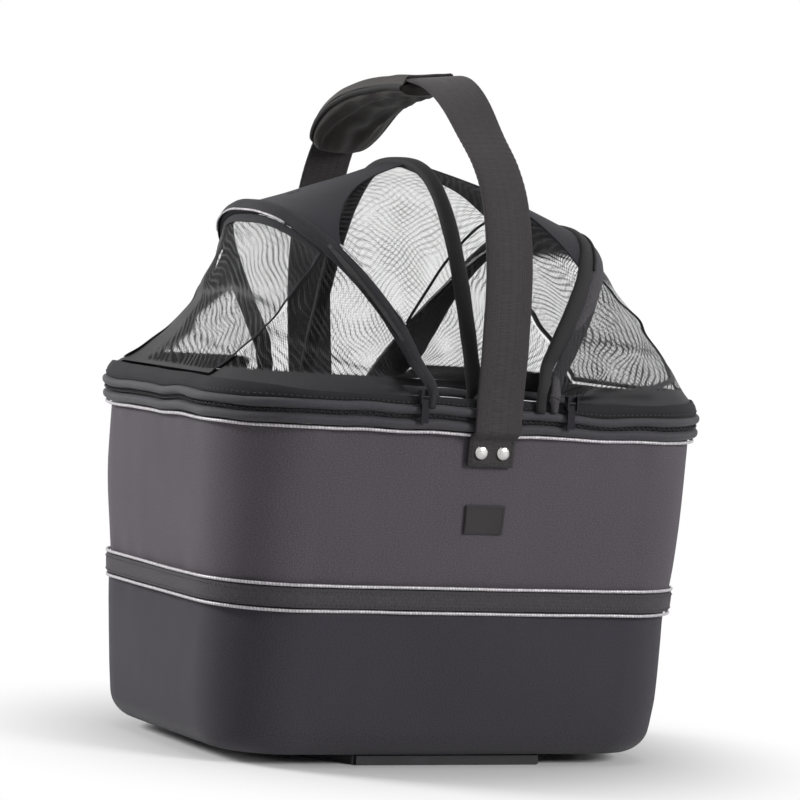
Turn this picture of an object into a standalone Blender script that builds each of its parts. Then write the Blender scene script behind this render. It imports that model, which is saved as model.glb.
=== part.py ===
"""A dog basket for a bicycle's handlebar: padded tub, net canopy on three hoops, carrying strap.

Metres, +Z up. The origin is the middle of the base plate's underside. The front, which looks
away from the rider, is at -Y, and the handlebar adapter is at +Y.
"""

import math

import bmesh
import bpy
from mathutils import Matrix, Vector

for old_object in list(bpy.data.objects):
    bpy.data.objects.remove(old_object, do_unlink=True)

# Clearances between pieces
seam = 0.0003
fold_gap = 0.0008
cut_overrun = 0.002

# Plan of the tub: half sizes at the rim and at the foot, with walls that bulge
rim_half_width = 0.201
rim_half_depth = 0.148
rim_corner_radius = 0.059
foot_half_width = 0.187
foot_half_depth = 0.130
foot_corner_radius = 0.055
front_bulge = 0.0075
side_bulge = 0.004
foot_bulge_share = 0.4
corner_steps = 5
long_side_steps = 4
short_side_steps = 3

# Base plate and the heights of the tub
base_plate_thickness = 0.007
base_plate_half_width = 0.078
base_plate_front = 0.115
base_plate_back = 0.075
base_plate_bevel = 0.0025
shell_height = 0.2403
belt_low_height = 0.1088
belt_high_height = 0.1249
wall_thickness = 0.005
foot_fillet = 0.020
lining_thickness = 0.0014

# Bands and pipings round the tub
belt_thickness = 0.0032
piping_radius = 0.0011
piping_stand = 0.0010
rim_roll_height = 0.0070
rim_roll_outset = 0.0060
rim_roll_inset = 0.0080
rim_roll_flat_share = 0.62
zip_height = 0.0032
zip_outset = 0.0042

# Floor board and cushion
floor_board_thickness = 0.003
floor_board_gap = 0.0012
cushion_gap = 0.004
cushion_edge_height = 0.018
cushion_crown = 0.013
cushion_side_draw = 0.006
cushion_corner_radius = 0.045
cushion_side_shares = [(4, 0.0), (2, 0.12), (1, 0.45), (1, 0.62), (2, 0.90)]
cushion_top_shares = [0.84, 0.68, 0.50, 0.30]
cushion_edge_share = 0.92
cushion_crown_power = 0.75

# Base plate screws
base_screw_half_span = 0.052
base_screw_y = -0.020
base_screw_head_radius = 0.0045
base_screw_head_height = 0.0028
base_screw_shank_radius = 0.0020
base_screw_grip_in_board = 0.0018

# Canopy hoops: a rod in a sleeve, superellipses over the depth of the tub
hoop_foot_inset = 0.0035
sleeve_radius = 0.0040
sleeve_bore_radius = 0.0028
rod_radius = 0.0025
side_hoop_rise = 0.131
side_hoop_width_power = 3.0
side_hoop_height_power = 1.3
side_hoop_foot = 0.042
side_hoop_reach = 0.126
side_hoop_spread_power = 1.05
centre_hoop_rise = 0.175
centre_hoop_width_power = 2.8
centre_hoop_height_power = 0.9
centre_hoop_foot = -0.012
centre_hoop_apex = -0.015
canopy_lean = -0.0015
hoop_steps = 8

# Canopy cloth
base_band_height = 0.0115
base_band_outset = 0.0015
base_band_thickness = 0.0015
net_thickness = 0.0010
net_sag = 0.004
ridge_centre_share = 0.96
ridge_side_share = 0.56
seam_share = 0.62
gusset_tip = 0.018
gusset_tip_share = 0.06
gore_steps = 4
gusset_foot_outset = 0.0010
tangent_share = 0.01
corner_column_power = 1.5
cloth_gap = 0.0005
door_foot_half_width = 0.1985

# Carrying strap: its outer face runs in the plane x = 0, as shares of span and rise
strap_half_width = 0.019
strap_thickness = 0.0026
strap_clearance = 0.0008
strap_hinge_height = 0.2715
strap_rise = 0.2365
strap_end_radius = 0.0195
strap_steps = 34
strap_route_shares = [
    (-1.00, 0.00), (-1.015, 0.20), (-1.00, 0.42), (-0.925, 0.60), (-0.80, 0.72), (-0.62, 0.82),
    (-0.45, 0.895), (-0.27, 0.955), (-0.10, 0.988), (0.08, 1.00), (0.26, 0.992), (0.46, 0.965),
    (0.66, 0.918), (0.84, 0.83), (0.97, 0.71), (1.06, 0.55), (1.09, 0.38), (1.06, 0.19), (1.00, 0.00),
]
grip_first_share = 0.43
grip_last_share = 0.74
grip_half_width = 0.022
grip_end_half_width = 0.030
grip_thickness = 0.012
grip_end_thickness = 0.018
grip_outline_shares = [(-0.78, 0.0), (0.78, 0.0), (0.96, 0.22), (1.0, 0.5), (0.8, 0.86), (0.35, 1.0),
                       (-0.35, 1.0), (-0.8, 0.86), (-1.0, 0.5), (-0.96, 0.22)]
grip_end_share = 0.55
grip_end_power = 8
strap_column_shares = [-1.0, -0.8, -0.45, 0.0, 0.45, 0.8, 1.0]
strap_tab_foot_height = 0.2235
strap_tab_bend_low = 0.2422
strap_tab_bend_high = 0.2470

# Rivets through the strap's ends
rivet_height = 0.2342
rivet_half_pitch = 0.009
rivet_head_radius = 0.0052
rivet_head_height = 0.0022
rivet_shank_radius = 0.0022
rivet_tail_radius = 0.0038
rivet_tail_height = 0.0010
rivet_dome_shares = [(1.0, 0.33), (0.8, 0.75), (0.35, 1.0)]

# Plain woven tag on the front
label_half_width = 0.0165
label_half_height = 0.0105
label_height = 0.1845
label_thickness = 0.0007

# Leash ring on the back wall, inside
leash_x = 0.100
leash_height = 0.206
leash_loop_half_width = 0.009
leash_loop_depth = 0.0056
leash_loop_length = 0.026
leash_bore_radius = 0.0022
leash_wire_radius = 0.0016
leash_ring_half_width = 0.0125
leash_ring_drop = 0.021

# Mount plate on the back wall, with a channel that the adapter slides in
mount_low = 0.1385
mount_high = 0.2130
mount_half_width = 0.045
mount_thickness = 0.004
rail_inner = 0.0262
rail_outer = 0.0340
rail_lip_inner = 0.0215
rail_lip_under = 0.0065
rail_depth = 0.0105
channel_stop_height = 0.006
mount_bolt_x = 0.0395
mount_bolt_radius = 0.0022
mount_bolt_head_radius = 0.0042
mount_bolt_head_height = 0.0024
mount_bolt_nut_radius = 0.0046
mount_bolt_nut_height = 0.0028
stiffener_half_width = 0.052
stiffener_margin = 0.006
stiffener_thickness = 0.0022

# Handlebar adapter
bar_radius = 0.0159
bar_distance = 0.048
adapter_half_height = 0.026
adapter_height = 0.1795
adapter_tongue_thickness = 0.0056
adapter_neck_clearance = 0.0007
button_pocket_setback = 0.010
saddle_half_width = 0.046
split_gap = 0.0010
cap_thickness = 0.0060
clamp_bolt_offset = 0.0205
clamp_bolt_radius = 0.0018
clamp_bolt_head_radius = 0.0034
clamp_bolt_head_height = 0.0026
clamp_bolt_depth = 0.012

# Release button and its spring
button_half_width = 0.0100
button_half_depth = 0.0055
button_above = 0.0055
button_below = 0.0080
button_clearance = 0.0005
button_bevel = 0.0012
spring_height = 0.0105
spring_radius = 0.0036
spring_wire_radius = 0.00045
spring_turns = 4
spring_points_a_turn = 10

# Zip sliders and their pulls
slider_half_width = 0.0045
slider_half_height = 0.0050
slider_base_depth = 0.0022
slider_ear_depth = 0.0034
slider_ear_width = 0.0012
pull_barrel_radius = 0.0012
pull_length = 0.019
pull_thickness = 0.0010
door_slider_x = 0.0605
door_slider_height = 0.2727
rim_slider_x = 0.072

# Worked-out heights
shell_bottom = base_plate_thickness + seam
rim_piping_z = shell_bottom + shell_height
belt_low_z = shell_bottom + belt_low_height
belt_high_z = shell_bottom + belt_high_height
shell_seam_z = (belt_low_z + belt_high_z) / 2
wall_top = rim_piping_z + piping_radius
lower_roll_z = wall_top + seam
zip_z = lower_roll_z + rim_roll_height + seam
upper_roll_z = zip_z + zip_height + seam
canopy_z = upper_roll_z + rim_roll_height + seam
band_top = canopy_z + base_band_height
net_foot_z = band_top + fold_gap
shell_floor_top = shell_bottom + wall_thickness
lining_floor_top = shell_floor_top + seam + lining_thickness
board_top = lining_floor_top + seam + floor_board_thickness


def add_material(name, colour, roughness, metallic=0.0):
    """A Principled material from a colour in linear light."""
    material = bpy.data.materials.new(name)
    material.use_nodes = True
    shader = material.node_tree.nodes["Principled BSDF"]
    shader.inputs["Base Color"].default_value = (*colour, 1.0)
    shader.inputs["Roughness"].default_value = roughness
    shader.inputs["Metallic"].default_value = metallic
    material.diffuse_color = (*colour, 1.0)
    return material


materials = {
    "shell_fabric": add_material("shell_fabric", (0.045, 0.043, 0.050), 0.85),
    "wall_fabric": add_material("wall_fabric", (0.085, 0.080, 0.090), 0.85),
    "binding_fabric": add_material("binding_fabric", (0.055, 0.054, 0.060), 0.8),
    "canopy_fabric": add_material("canopy_fabric", (0.012, 0.012, 0.014), 0.9),
    "net_fabric": add_material("net_fabric", (0.010, 0.010, 0.011), 0.8),
    "webbing": add_material("webbing", (0.040, 0.036, 0.034), 0.75),
    "reflective_piping": add_material("reflective_piping", (0.68, 0.66, 0.68), 0.45),
    "lining_fabric": add_material("lining_fabric", (0.030, 0.030, 0.033), 0.9),
    "cushion_fleece": add_material("cushion_fleece", (0.10, 0.10, 0.11), 0.95),
    "black_plastic": add_material("black_plastic", (0.018, 0.018, 0.019), 0.45),
    "board_plastic": add_material("board_plastic", (0.030, 0.030, 0.030), 0.6),
    "zip_plastic": add_material("zip_plastic", (0.020, 0.020, 0.021), 0.5),
    "bright_steel": add_material("bright_steel", (0.62, 0.62, 0.63), 0.25, 1.0),
    "spring_steel": add_material("spring_steel", (0.30, 0.30, 0.31), 0.35, 1.0),
    "fibreglass": add_material("fibreglass", (0.35, 0.33, 0.28), 0.5),
    "button_plastic": add_material("button_plastic", (0.25, 0.03, 0.03), 0.4),
    "label_weave": add_material("label_weave", (0.030, 0.022, 0.024), 0.8),
}


def add_object(name, bm, slot, origin=(0.0, 0.0, 0.0), parent=None, smooth=False):
    """Make the object for a mesh drawn in world space, with its origin where it is asked for."""
    place = Vector(origin)
    bmesh.ops.recalc_face_normals(bm, faces=bm.faces)
    bmesh.ops.translate(bm, vec=-place, verts=bm.verts)
    mesh = bpy.data.meshes.new(name)
    bm.to_mesh(mesh)
    bm.free()
    if smooth:
        mesh.shade_smooth()
    obj = bpy.data.objects.new(name, mesh)
    mesh.materials.append(materials[slot])
    bpy.context.collection.objects.link(obj)
    obj.location = place if parent is None else place - parent.location
    obj.parent = parent
    return obj


def add_joint(name, place):
    """An empty that stands on a joint's axis."""
    empty = bpy.data.objects.new(name, None)
    bpy.context.collection.objects.link(empty)
    empty.location = place
    return empty


def cut(obj, cutter_meshes):
    """Cut closed shapes, which don't meet each other, out of an object."""
    bm = bmesh.new()
    for cutter_mesh in cutter_meshes:
        cutter_mesh(bm)
    bmesh.ops.recalc_face_normals(bm, faces=bm.faces)
    mesh = bpy.data.meshes.new(obj.name + "_cutter")
    bm.to_mesh(mesh)
    bm.free()
    cutter = bpy.data.objects.new(obj.name + "_cutter", mesh)
    bpy.context.collection.objects.link(cutter)
    cutter.hide_render = True
    cutter.display_type = "WIRE"
    modifier = obj.modifiers.new("cut", "BOOLEAN")
    modifier.operation = "DIFFERENCE"
    modifier.object = cutter
    return cutter


def skin(bm, loops, wrap=False):
    """Join loops of as many points each: a tube with capped ends, or a closed ring."""
    rows = [[bm.verts.new(point) for point in loop] for loop in loops]
    count = len(rows[0])
    pairs = list(zip(rows, rows[1:]))
    if wrap:
        pairs.append((rows[-1], rows[0]))
    for first, second in pairs:
        for i in range(count):
            j = (i + 1) % count
            bm.faces.new((first[i], first[j], second[j], second[i]))
    if not wrap:
        bm.faces.new(rows[0])
        bm.faces.new(rows[-1])


def plan_loop(half_width, half_depth, radius, bulge_x, bulge_y, z):
    """A rounded rectangle whose sides bulge, anticlockwise from the right side."""
    straight_x = half_width - bulge_x
    straight_y = half_depth - bulge_y
    corners = [(1, 1, 0.0), (-1, 1, 0.5), (-1, -1, 1.0), (1, -1, 1.5)]
    points = []
    for index, (sx, sy, turn) in enumerate(corners):
        for step in range(corner_steps + 1):
            angle = math.pi * (turn + 0.5 * step / corner_steps)
            points.append((sx * (straight_x - radius) + radius * math.cos(angle),
                           sy * (straight_y - radius) + radius * math.sin(angle)))
        steps = long_side_steps if index % 2 == 0 else short_side_steps
        for step in range(1, steps):
            share = 1 - 2 * step / steps
            if index % 2 == 0:
                points.append((sx * share * (straight_x - radius), sy * straight_y))
            else:
                points.append((sx * straight_x, sy * share * (straight_y - radius)))
    loop = []
    for x, y in points:
        push_x = bulge_x * max(0.0, 1 - (y / straight_y) ** 2)
        push_y = bulge_y * max(0.0, 1 - (x / straight_x) ** 2)
        loop.append(Vector((x + math.copysign(push_x, x), y + math.copysign(push_y, y), z)))
    return loop


def wall_sizes(z):
    """Half width, half depth, corner radius and bulges of the tub's outside at a height."""
    share = (z - shell_bottom) / shell_height
    bulge_share = foot_bulge_share + (1 - foot_bulge_share) * share
    return (foot_half_width + (rim_half_width - foot_half_width) * share,
            foot_half_depth + (rim_half_depth - foot_half_depth) * share,
            foot_corner_radius + (rim_corner_radius - foot_corner_radius) * share,
            side_bulge * bulge_share, front_bulge * bulge_share)


def wall_loop(z, outset=0.0):
    """A level line of the tub's outside, moved out by the outset."""
    half_width, half_depth, radius, bulge_x, bulge_y = wall_sizes(z)
    return plan_loop(half_width + outset, half_depth + outset, radius + outset, bulge_x, bulge_y, z)


def wall_y(x, z):
    """How far the tub's faceted front or back face stands from the middle."""
    loop = wall_loop(z)
    for first, second in zip(loop, loop[1:] + loop[:1]):
        if first.y > 0 and second.y > 0 and first.x >= x > second.x:
            return first.y + (second.y - first.y) * (first.x - x) / (first.x - second.x)
    return loop[0].y


def wall_lean():
    """The angle by which the front and back faces lean out."""
    return math.atan2(rim_half_depth - foot_half_depth, shell_height)


def band(name, outline, slot, smooth=False):
    """A closed ring round the tub with an outline of (outset, height) points."""
    bm = bmesh.new()
    skin(bm, [wall_loop(z, outset) for outset, z in outline], wrap=True)
    return add_object(name, bm, slot, smooth=smooth)


def bowl(name, outline, slot):
    """A closed body turned round the tub's plan, from an outline whose two ends are flat caps."""
    bm = bmesh.new()
    skin(bm, [wall_loop(z, outset) for outset, z in outline])
    return add_object(name, bm, slot)


def sheet(bm, sides, rows, thickness):
    """A closed sheet on a grid of points, with its two faces where sides, in thicknesses, says."""
    count_u = len(rows)
    count_v = len(rows[0])

    def normal(i, j):
        before_u = rows[max(i - 1, 0)][j]
        after_u = rows[min(i + 1, count_u - 1)][j]
        before_v = rows[i][max(j - 1, 0)]
        after_v = rows[i][min(j + 1, count_v - 1)]
        return (after_u - before_u).cross(after_v - before_v).normalized()

    front, back = [[[bm.verts.new(rows[i][j] + normal(i, j) * thickness * side)
                     for j in range(count_v)] for i in range(count_u)] for side in sides]
    for i in range(count_u - 1):
        for j in range(count_v - 1):
            bm.faces.new((front[i][j], front[i + 1][j], front[i + 1][j + 1], front[i][j + 1]))
            bm.faces.new((back[i][j], back[i][j + 1], back[i + 1][j + 1], back[i + 1][j]))
    for i in range(count_u - 1):
        for j in (0, count_v - 1):
            bm.faces.new((front[i][j], front[i + 1][j], back[i + 1][j], back[i][j]))
    for j in range(count_v - 1):
        for i in (0, count_u - 1):
            bm.faces.new((front[i][j], front[i][j + 1], back[i][j + 1], back[i][j]))


middle_face = (0.5, -0.5)
outer_face = (1.0, 0.0)
inner_face = (0.0, -1.0)


def tube(bm, points, radius, sides, up=Vector((1, 0, 0)), bore=None, closed=False, upright=False):
    """A tube along points near one plane, whose normal is up; upright ends are cut level."""
    loops = []
    bores = []
    count = len(points)
    for i, point in enumerate(points):
        if closed:
            along = points[(i + 1) % count] - points[i - 1]
        else:
            along = points[min(i + 1, count - 1)] - points[max(i - 1, 0)]
        if upright and i in (0, count - 1):
            along = Vector((0, 0, 1 if i == 0 else -1))
        across = along.cross(up).normalized()
        over = across.cross(along).normalized()
        ring = [across * math.cos(math.tau * k / sides) + over * math.sin(math.tau * k / sides)
                for k in range(sides)]
        loops.append([point + spoke * radius for spoke in ring])
        if bore is not None:
            bores.append([point + spoke * bore for spoke in ring])
    if bore is not None:
        skin(bm, loops + bores[::-1], wrap=True)
    else:
        skin(bm, loops, wrap=closed)


def box(bm, low, high):
    """An upright box from its two far corners."""
    corners = [[Vector((x, y, z)) for x, y in ((low[0], low[1]), (high[0], low[1]),
                                               (high[0], high[1]), (low[0], high[1]))]
               for z in (low[2], high[2])]
    skin(bm, corners)


def turned(bm, profile, sides, place):
    """A body turned round local Z from (radius, height) points, put in place by a matrix."""
    skin(bm, [[place @ Vector((radius * math.cos(math.tau * k / sides),
                               radius * math.sin(math.tau * k / sides), height))
               for k in range(sides)] for radius, height in profile])


def cylinder(place, radius, low, high, sides):
    """A maker of a straight cylinder along a matrix's Z, for cuts."""
    return lambda bm: turned(bm, [(radius, low), (radius, high)], sides, place)


def block(low, high):
    """A maker of an upright box, for cuts."""
    return lambda bm: box(bm, low, high)


def bevel_all(bm, width):
    """Bevel every edge once."""
    bmesh.ops.bevel(bm, geom=bm.edges[:], offset=width, segments=1, affect="EDGES")


# The tub

fillet_steps = 4
fillet_rows = [(-foot_fillet * (1 - math.sin(0.5 * math.pi * step / fillet_steps)),
                shell_bottom + foot_fillet * (1 - math.cos(0.5 * math.pi * step / fillet_steps)))
               for step in range(fillet_steps + 1)]
inner_fillet_rows = [(-wall_thickness - (foot_fillet - wall_thickness) * share_left,
                      shell_floor_top + (foot_fillet - wall_thickness) * share_up)
                     for share_left, share_up in ((0.0, 1.0), (0.3, 0.3), (1.0, 0.0))]


def add_tub():
    """The fabric-covered shell, its upper wall, lining, bands and pipings."""
    shell = fillet_rows + [(0.0, shell_seam_z), (-wall_thickness, shell_seam_z)] + inner_fillet_rows
    lower_shell = bowl("lower_shell", shell, "shell_fabric")
    upper_wall = band("upper_wall", [(0.0, shell_seam_z + seam), (0.0, wall_top),
                                     (-wall_thickness, wall_top), (-wall_thickness, shell_seam_z + seam)],
                      "wall_fabric")
    gap = wall_thickness + seam
    (high_x, high_z), (bend_x, bend_z), (low_x, low_z) = inner_fillet_rows
    lining_outer = [(-gap, wall_top), (-gap, shell_seam_z), (-gap, high_z),
                    (bend_x - seam, bend_z + seam), (low_x - seam, low_z + seam)]
    within = gap + lining_thickness
    lining_inner = [(low_x - seam - lining_thickness, lining_floor_top),
                    (bend_x - seam - lining_thickness, bend_z + seam + lining_thickness),
                    (-within, high_z + lining_thickness), (-within, shell_seam_z), (-within, wall_top)]
    lining = bowl("inner_lining", lining_inner + lining_outer, "lining_fabric")
    band("belt_band", [(seam, belt_low_z + piping_stand), (belt_thickness, belt_low_z + piping_stand),
                       (belt_thickness, belt_high_z - piping_stand), (seam, belt_high_z - piping_stand)],
         "shell_fabric")
    add_piping("belt_piping_lower", belt_low_z - piping_radius, piping_stand + belt_thickness / 2)
    add_piping("belt_piping_upper", belt_high_z + piping_radius, piping_stand + belt_thickness / 2)
    add_piping("rim_piping", rim_piping_z - piping_radius, piping_stand)
    return lower_shell, upper_wall, lining


def add_piping(name, z, stand):
    """A thin reflective piping, a cord with a square section, standing off the wall."""
    outline = [(seam, z), (stand, z + piping_radius), (stand + piping_radius, z),
               (stand, z - piping_radius)]
    band(name, outline, "reflective_piping", smooth=True)


def add_rim():
    """Two fabric rolls with the rim's zip between them."""
    for name, low in (("rim_roll_lower", lower_roll_z), ("rim_roll_upper", upper_roll_z)):
        high = low + rim_roll_height
        middle = low + rim_roll_height / 2
        outline = [(-rim_roll_inset, middle), (-rim_roll_inset * rim_roll_flat_share, high),
                   (rim_roll_outset * rim_roll_flat_share, high), (rim_roll_outset, middle),
                   (rim_roll_outset * rim_roll_flat_share, low),
                   (-rim_roll_inset * rim_roll_flat_share, low)]
        band(name, outline, "binding_fabric", smooth=True)
    band("rim_zipper", [(-zip_outset, zip_z), (zip_outset, zip_z), (zip_outset, zip_z + zip_height),
                        (-zip_outset, zip_z + zip_height)], "zip_plastic")


def add_floor():
    """The stiff board on the lining's floor and the crowned cushion on it."""
    inset = -(foot_fillet + lining_thickness + floor_board_gap)
    level = shell_bottom
    bm = bmesh.new()
    half_width, half_depth, radius, bulge_x, bulge_y = wall_sizes(level)
    loop = plan_loop(half_width + inset, half_depth + inset, radius + inset, bulge_x, bulge_y, 0.0)
    low = lining_floor_top + seam
    skin(bm, [[Vector((p.x, p.y, z)) for p in loop] for z in (low, board_top)])
    board = add_object("floor_board", bm, "board_plastic")

    def cushion_loop(share, z):
        side = -(wall_thickness + lining_thickness + cushion_gap) - cushion_side_draw
        width = (half_width + side) * share
        depth = (half_depth + side) * share
        return plan_loop(width, depth, cushion_corner_radius * share, bulge_x * share,
                         bulge_y * share, z)

    bottom = board_top + seam
    draw_share = cushion_side_draw / half_depth
    loops = [cushion_loop(1 - draws * draw_share, bottom + cushion_edge_height * height_share)
             for draws, height_share in cushion_side_shares]
    for share in cushion_top_shares:
        crown = cushion_crown * (1 - (share / cushion_edge_share) ** 2) ** cushion_crown_power
        loops.append(cushion_loop(share, bottom + cushion_edge_height + crown))
    bm = bmesh.new()
    skin(bm, loops)
    add_object("cushion", bm, "cushion_fleece", smooth=True)
    return board


def add_base_plate(lower_shell, lining, board):
    """The plastic plate under the tub, screwed up into the floor board."""
    bm = bmesh.new()
    box(bm, (-base_plate_half_width, -base_plate_front, 0.0),
        (base_plate_half_width, base_plate_back, base_plate_thickness))
    upright = [edge for edge in bm.edges
               if abs(edge.verts[0].co.z - edge.verts[1].co.z) > base_plate_bevel]
    bmesh.ops.bevel(bm, geom=upright, offset=base_plate_bevel, segments=2, affect="EDGES")
    plate = add_object("base_plate", bm, "black_plastic")
    top = lining_floor_top + seam + base_screw_grip_in_board
    head_low = seam
    head_high = head_low + base_screw_head_height
    bores = []
    counterbores = []
    for side, word in ((-1, "left"), (1, "right")):
        place = Matrix.Translation((side * base_screw_half_span, base_screw_y, 0.0))
        bm = bmesh.new()
        turned(bm, [(base_screw_head_radius, head_low), (base_screw_head_radius, head_high),
                    (base_screw_shank_radius, head_high), (base_screw_shank_radius, top)], 8, place)
        add_object(word + "_base_screw", bm, "bright_steel")
        bores.append(cylinder(place, base_screw_shank_radius + seam, -cut_overrun, top + seam, 8))
        counterbores.append(cylinder(place, base_screw_head_radius + seam, -cut_overrun,
                                     head_high + seam, 8))
    cut(plate, counterbores)
    cut(plate, bores)
    cut(lower_shell, bores)
    cut(lining, bores)
    cut(board, bores)


# The canopy

hoop_half_depth = rim_half_depth - hoop_foot_inset


def hoop_point(side, t):
    """A point of a hoop's centre line: side is -1, 0 or 1, and t runs from the front foot to the back."""
    rise = side_hoop_rise if side else centre_hoop_rise
    width_power = side_hoop_width_power if side else centre_hoop_width_power
    height_power = side_hoop_height_power if side else centre_hoop_height_power
    foot = side * side_hoop_foot if side else centre_hoop_foot
    apex = side * side_hoop_reach + canopy_lean if side else centre_hoop_apex
    around = math.pi * t
    y = -math.copysign(abs(math.cos(around)) ** (2 / width_power), math.cos(around)) * hoop_half_depth
    height_share = max(0.0, math.sin(around)) ** (2 / height_power)
    spread_share = height_share ** side_hoop_spread_power if side else height_share
    x = foot + (apex - foot) * spread_share
    return Vector((x, y, canopy_z + rise * height_share))


def hoop_start(side):
    """The t at which a hoop passes the height of the net's foot."""
    rise = side_hoop_rise if side else centre_hoop_rise
    power = side_hoop_height_power if side else centre_hoop_height_power
    return math.asin(((net_foot_z - canopy_z) / rise) ** (power / 2)) / math.pi


def hoop_at(side, share):
    """A point of a hoop: share runs 0 at the net's front foot, 1 at the apex, 2 at the back foot."""
    start = hoop_start(side)
    return hoop_point(side, start + (0.5 - start) * share)


def add_hoops():
    """Three bent rods, each inside its fabric sleeve."""
    for side, word in ((-1, "left"), (0, "centre"), (1, "right")):
        points = [hoop_point(side, 0.0)]
        points += [hoop_at(side, step / hoop_steps) for step in range(2 * hoop_steps + 1)]
        points.append(hoop_point(side, 1.0))
        bm = bmesh.new()
        tube(bm, points, rod_radius, 6, upright=True)
        add_object(word + "_hoop_rod", bm, "fibreglass", smooth=True)
        bm = bmesh.new()
        tube(bm, points, sleeve_radius, 6, bore=sleeve_bore_radius, upright=True)
        add_object(word + "_hoop_sleeve", bm, "canopy_fabric", smooth=True)


def sleeve_gap(side, share, direction):
    """How far along a ruling the cloth stops short of a hoop's centre line, to clear its sleeve."""
    tangent = (hoop_at(side, share + tangent_share) - hoop_at(side, share - tangent_share)).normalized()
    return (sleeve_radius + cloth_gap) / direction.cross(tangent).length


def ruling(start, end, steps):
    """Points on the straight line from start to end."""
    return [start.lerp(end, step / steps) for step in range(steps + 1)]


def cloth_edge(side, share, towards):
    """Where cloth that comes from a point meets a hoop's sleeve."""
    centre = hoop_at(side, share)
    direction = (towards - centre).normalized()
    return centre + direction * sleeve_gap(side, share, direction)


def ridge_share(u):
    """Where the solid ridge starts on a ruling, u from the centre hoop to a side hoop."""
    return ridge_centre_share + (ridge_side_share - ridge_centre_share) * u ** 2


def gore_grid(side, shares):
    """Rulings from the centre hoop to a side hoop; shares(u) lists the way along the hoops."""
    columns = []
    for u_step in range(gore_steps + 1):
        u = u_step / gore_steps
        column = []
        for share in shares(u):
            start = cloth_edge(0, share, hoop_at(side, share))
            end = cloth_edge(side, share, hoop_at(0, share))
            point = start.lerp(end, u)
            sag = net_sag * 4 * u * (1 - u) * math.sin(0.5 * math.pi * min(share, 2 - share))
            point.y -= math.copysign(sag, point.y)
            column.append(point)
        columns.append(column)
    return columns


def add_gores():
    """Net between the hoops at the front and the back, and the solid ridge panels on top."""
    net_rows = 6
    ridge_rows = 6
    cut_share = fold_gap / side_hoop_rise
    for side, word in ((-1, "left"), (1, "right")):
        for end, end_word in ((-1, "front"), (1, "back")):
            def net_shares(u):
                last = ridge_share(u) - cut_share
                shares = [last * step / net_rows for step in range(net_rows + 1)]
                return shares if end < 0 else [2 - share for share in shares]

            bm = bmesh.new()
            sheet(bm, middle_face, gore_grid(side, net_shares), net_thickness)
            add_object(f"{end_word}_{word}_net", bm, "net_fabric", smooth=True)

        def ridge_shares(u):
            first = ridge_share(u) + cut_share
            return [first + (2 - 2 * first) * step / ridge_rows for step in range(ridge_rows + 1)]

        bm = bmesh.new()
        sheet(bm, middle_face, gore_grid(side, ridge_shares), net_thickness)
        add_object(word + "_ridge_panel", bm, "canopy_fabric", smooth=True)


def gusset_foot(side, end, share):
    """The net's foot on the base band, from a side hoop's foot round to the side door's corner."""
    half_width, half_depth, radius, bulge_x, bulge_y = wall_sizes(rim_piping_z)
    straight_y = half_depth - bulge_y
    start_x = side_hoop_foot + gusset_tip
    corner_x = door_foot_half_width - radius
    corner_y = straight_y + gusset_foot_outset - radius
    straight_length = corner_x - start_x
    arc_length = radius * math.pi / 2
    travel = share * (straight_length + arc_length)
    if travel < straight_length:
        x = start_x + travel
        y = straight_y + gusset_foot_outset
    else:
        angle = (travel - straight_length) / radius
        x = corner_x + radius * math.sin(angle)
        y = corner_y + radius * math.cos(angle)
    y += bulge_y * max(0.0, 1 - (x / (half_width - bulge_x)) ** 2)
    return Vector((side * x, end * y, net_foot_z))


def door_foot(side, share):
    """The straight foot of a side door; share runs from 0 at the front to 1 at the back."""
    front = gusset_foot(side, -1, 1.0)
    back = gusset_foot(side, 1, 1.0)
    return front.lerp(back, share)


def add_skirts():
    """Corner nets that stay, and side doors of net that unzip and hinge on the base band."""
    rows = 7
    across = 4
    for side, word in ((-1, "left"), (1, "right")):
        for end, end_word in ((-1, "front"), (1, "back")):
            columns = []
            for step in range(rows + 1):
                share = (step / rows) ** corner_column_power
                last_share = seam_share - fold_gap / side_hoop_rise
                along_share = gusset_tip_share + (last_share - gusset_tip_share) * share
                hoop_share = along_share if end < 0 else 2 - along_share
                foot = gusset_foot(side, end, share * (1 - fold_gap / rim_corner_radius))
                columns.append(ruling(foot, cloth_edge(side, hoop_share, foot), across))
            bm = bmesh.new()
            sheet(bm, middle_face, columns, net_thickness)
            add_object(f"{end_word}_{word}_corner_net", bm, "net_fabric", smooth=True)
        hinge = door_foot(side, 0.5)
        joint = add_joint(word + "_door_hinge", hinge)
        columns = []
        door_rows = 8
        for step in range(door_rows + 1):
            share = step / door_rows
            hoop_share = seam_share + (2 - 2 * seam_share) * share
            foot = door_foot(side, share)
            columns.append(ruling(foot, cloth_edge(side, hoop_share, foot), across))
        bm = bmesh.new()
        sheet(bm, middle_face, columns, net_thickness)
        add_object(word + "_door", bm, "net_fabric", origin=hinge, parent=joint, smooth=True)
    band("canopy_base_band", [(base_band_outset, canopy_z),
                              (base_band_outset + base_band_thickness, canopy_z),
                              (base_band_outset + base_band_thickness, band_top),
                              (base_band_outset, band_top)], "canopy_fabric")


# The carrying strap

strap_half_span = wall_y(0.0, canopy_z) + rim_roll_outset + strap_clearance + strap_thickness


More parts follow.
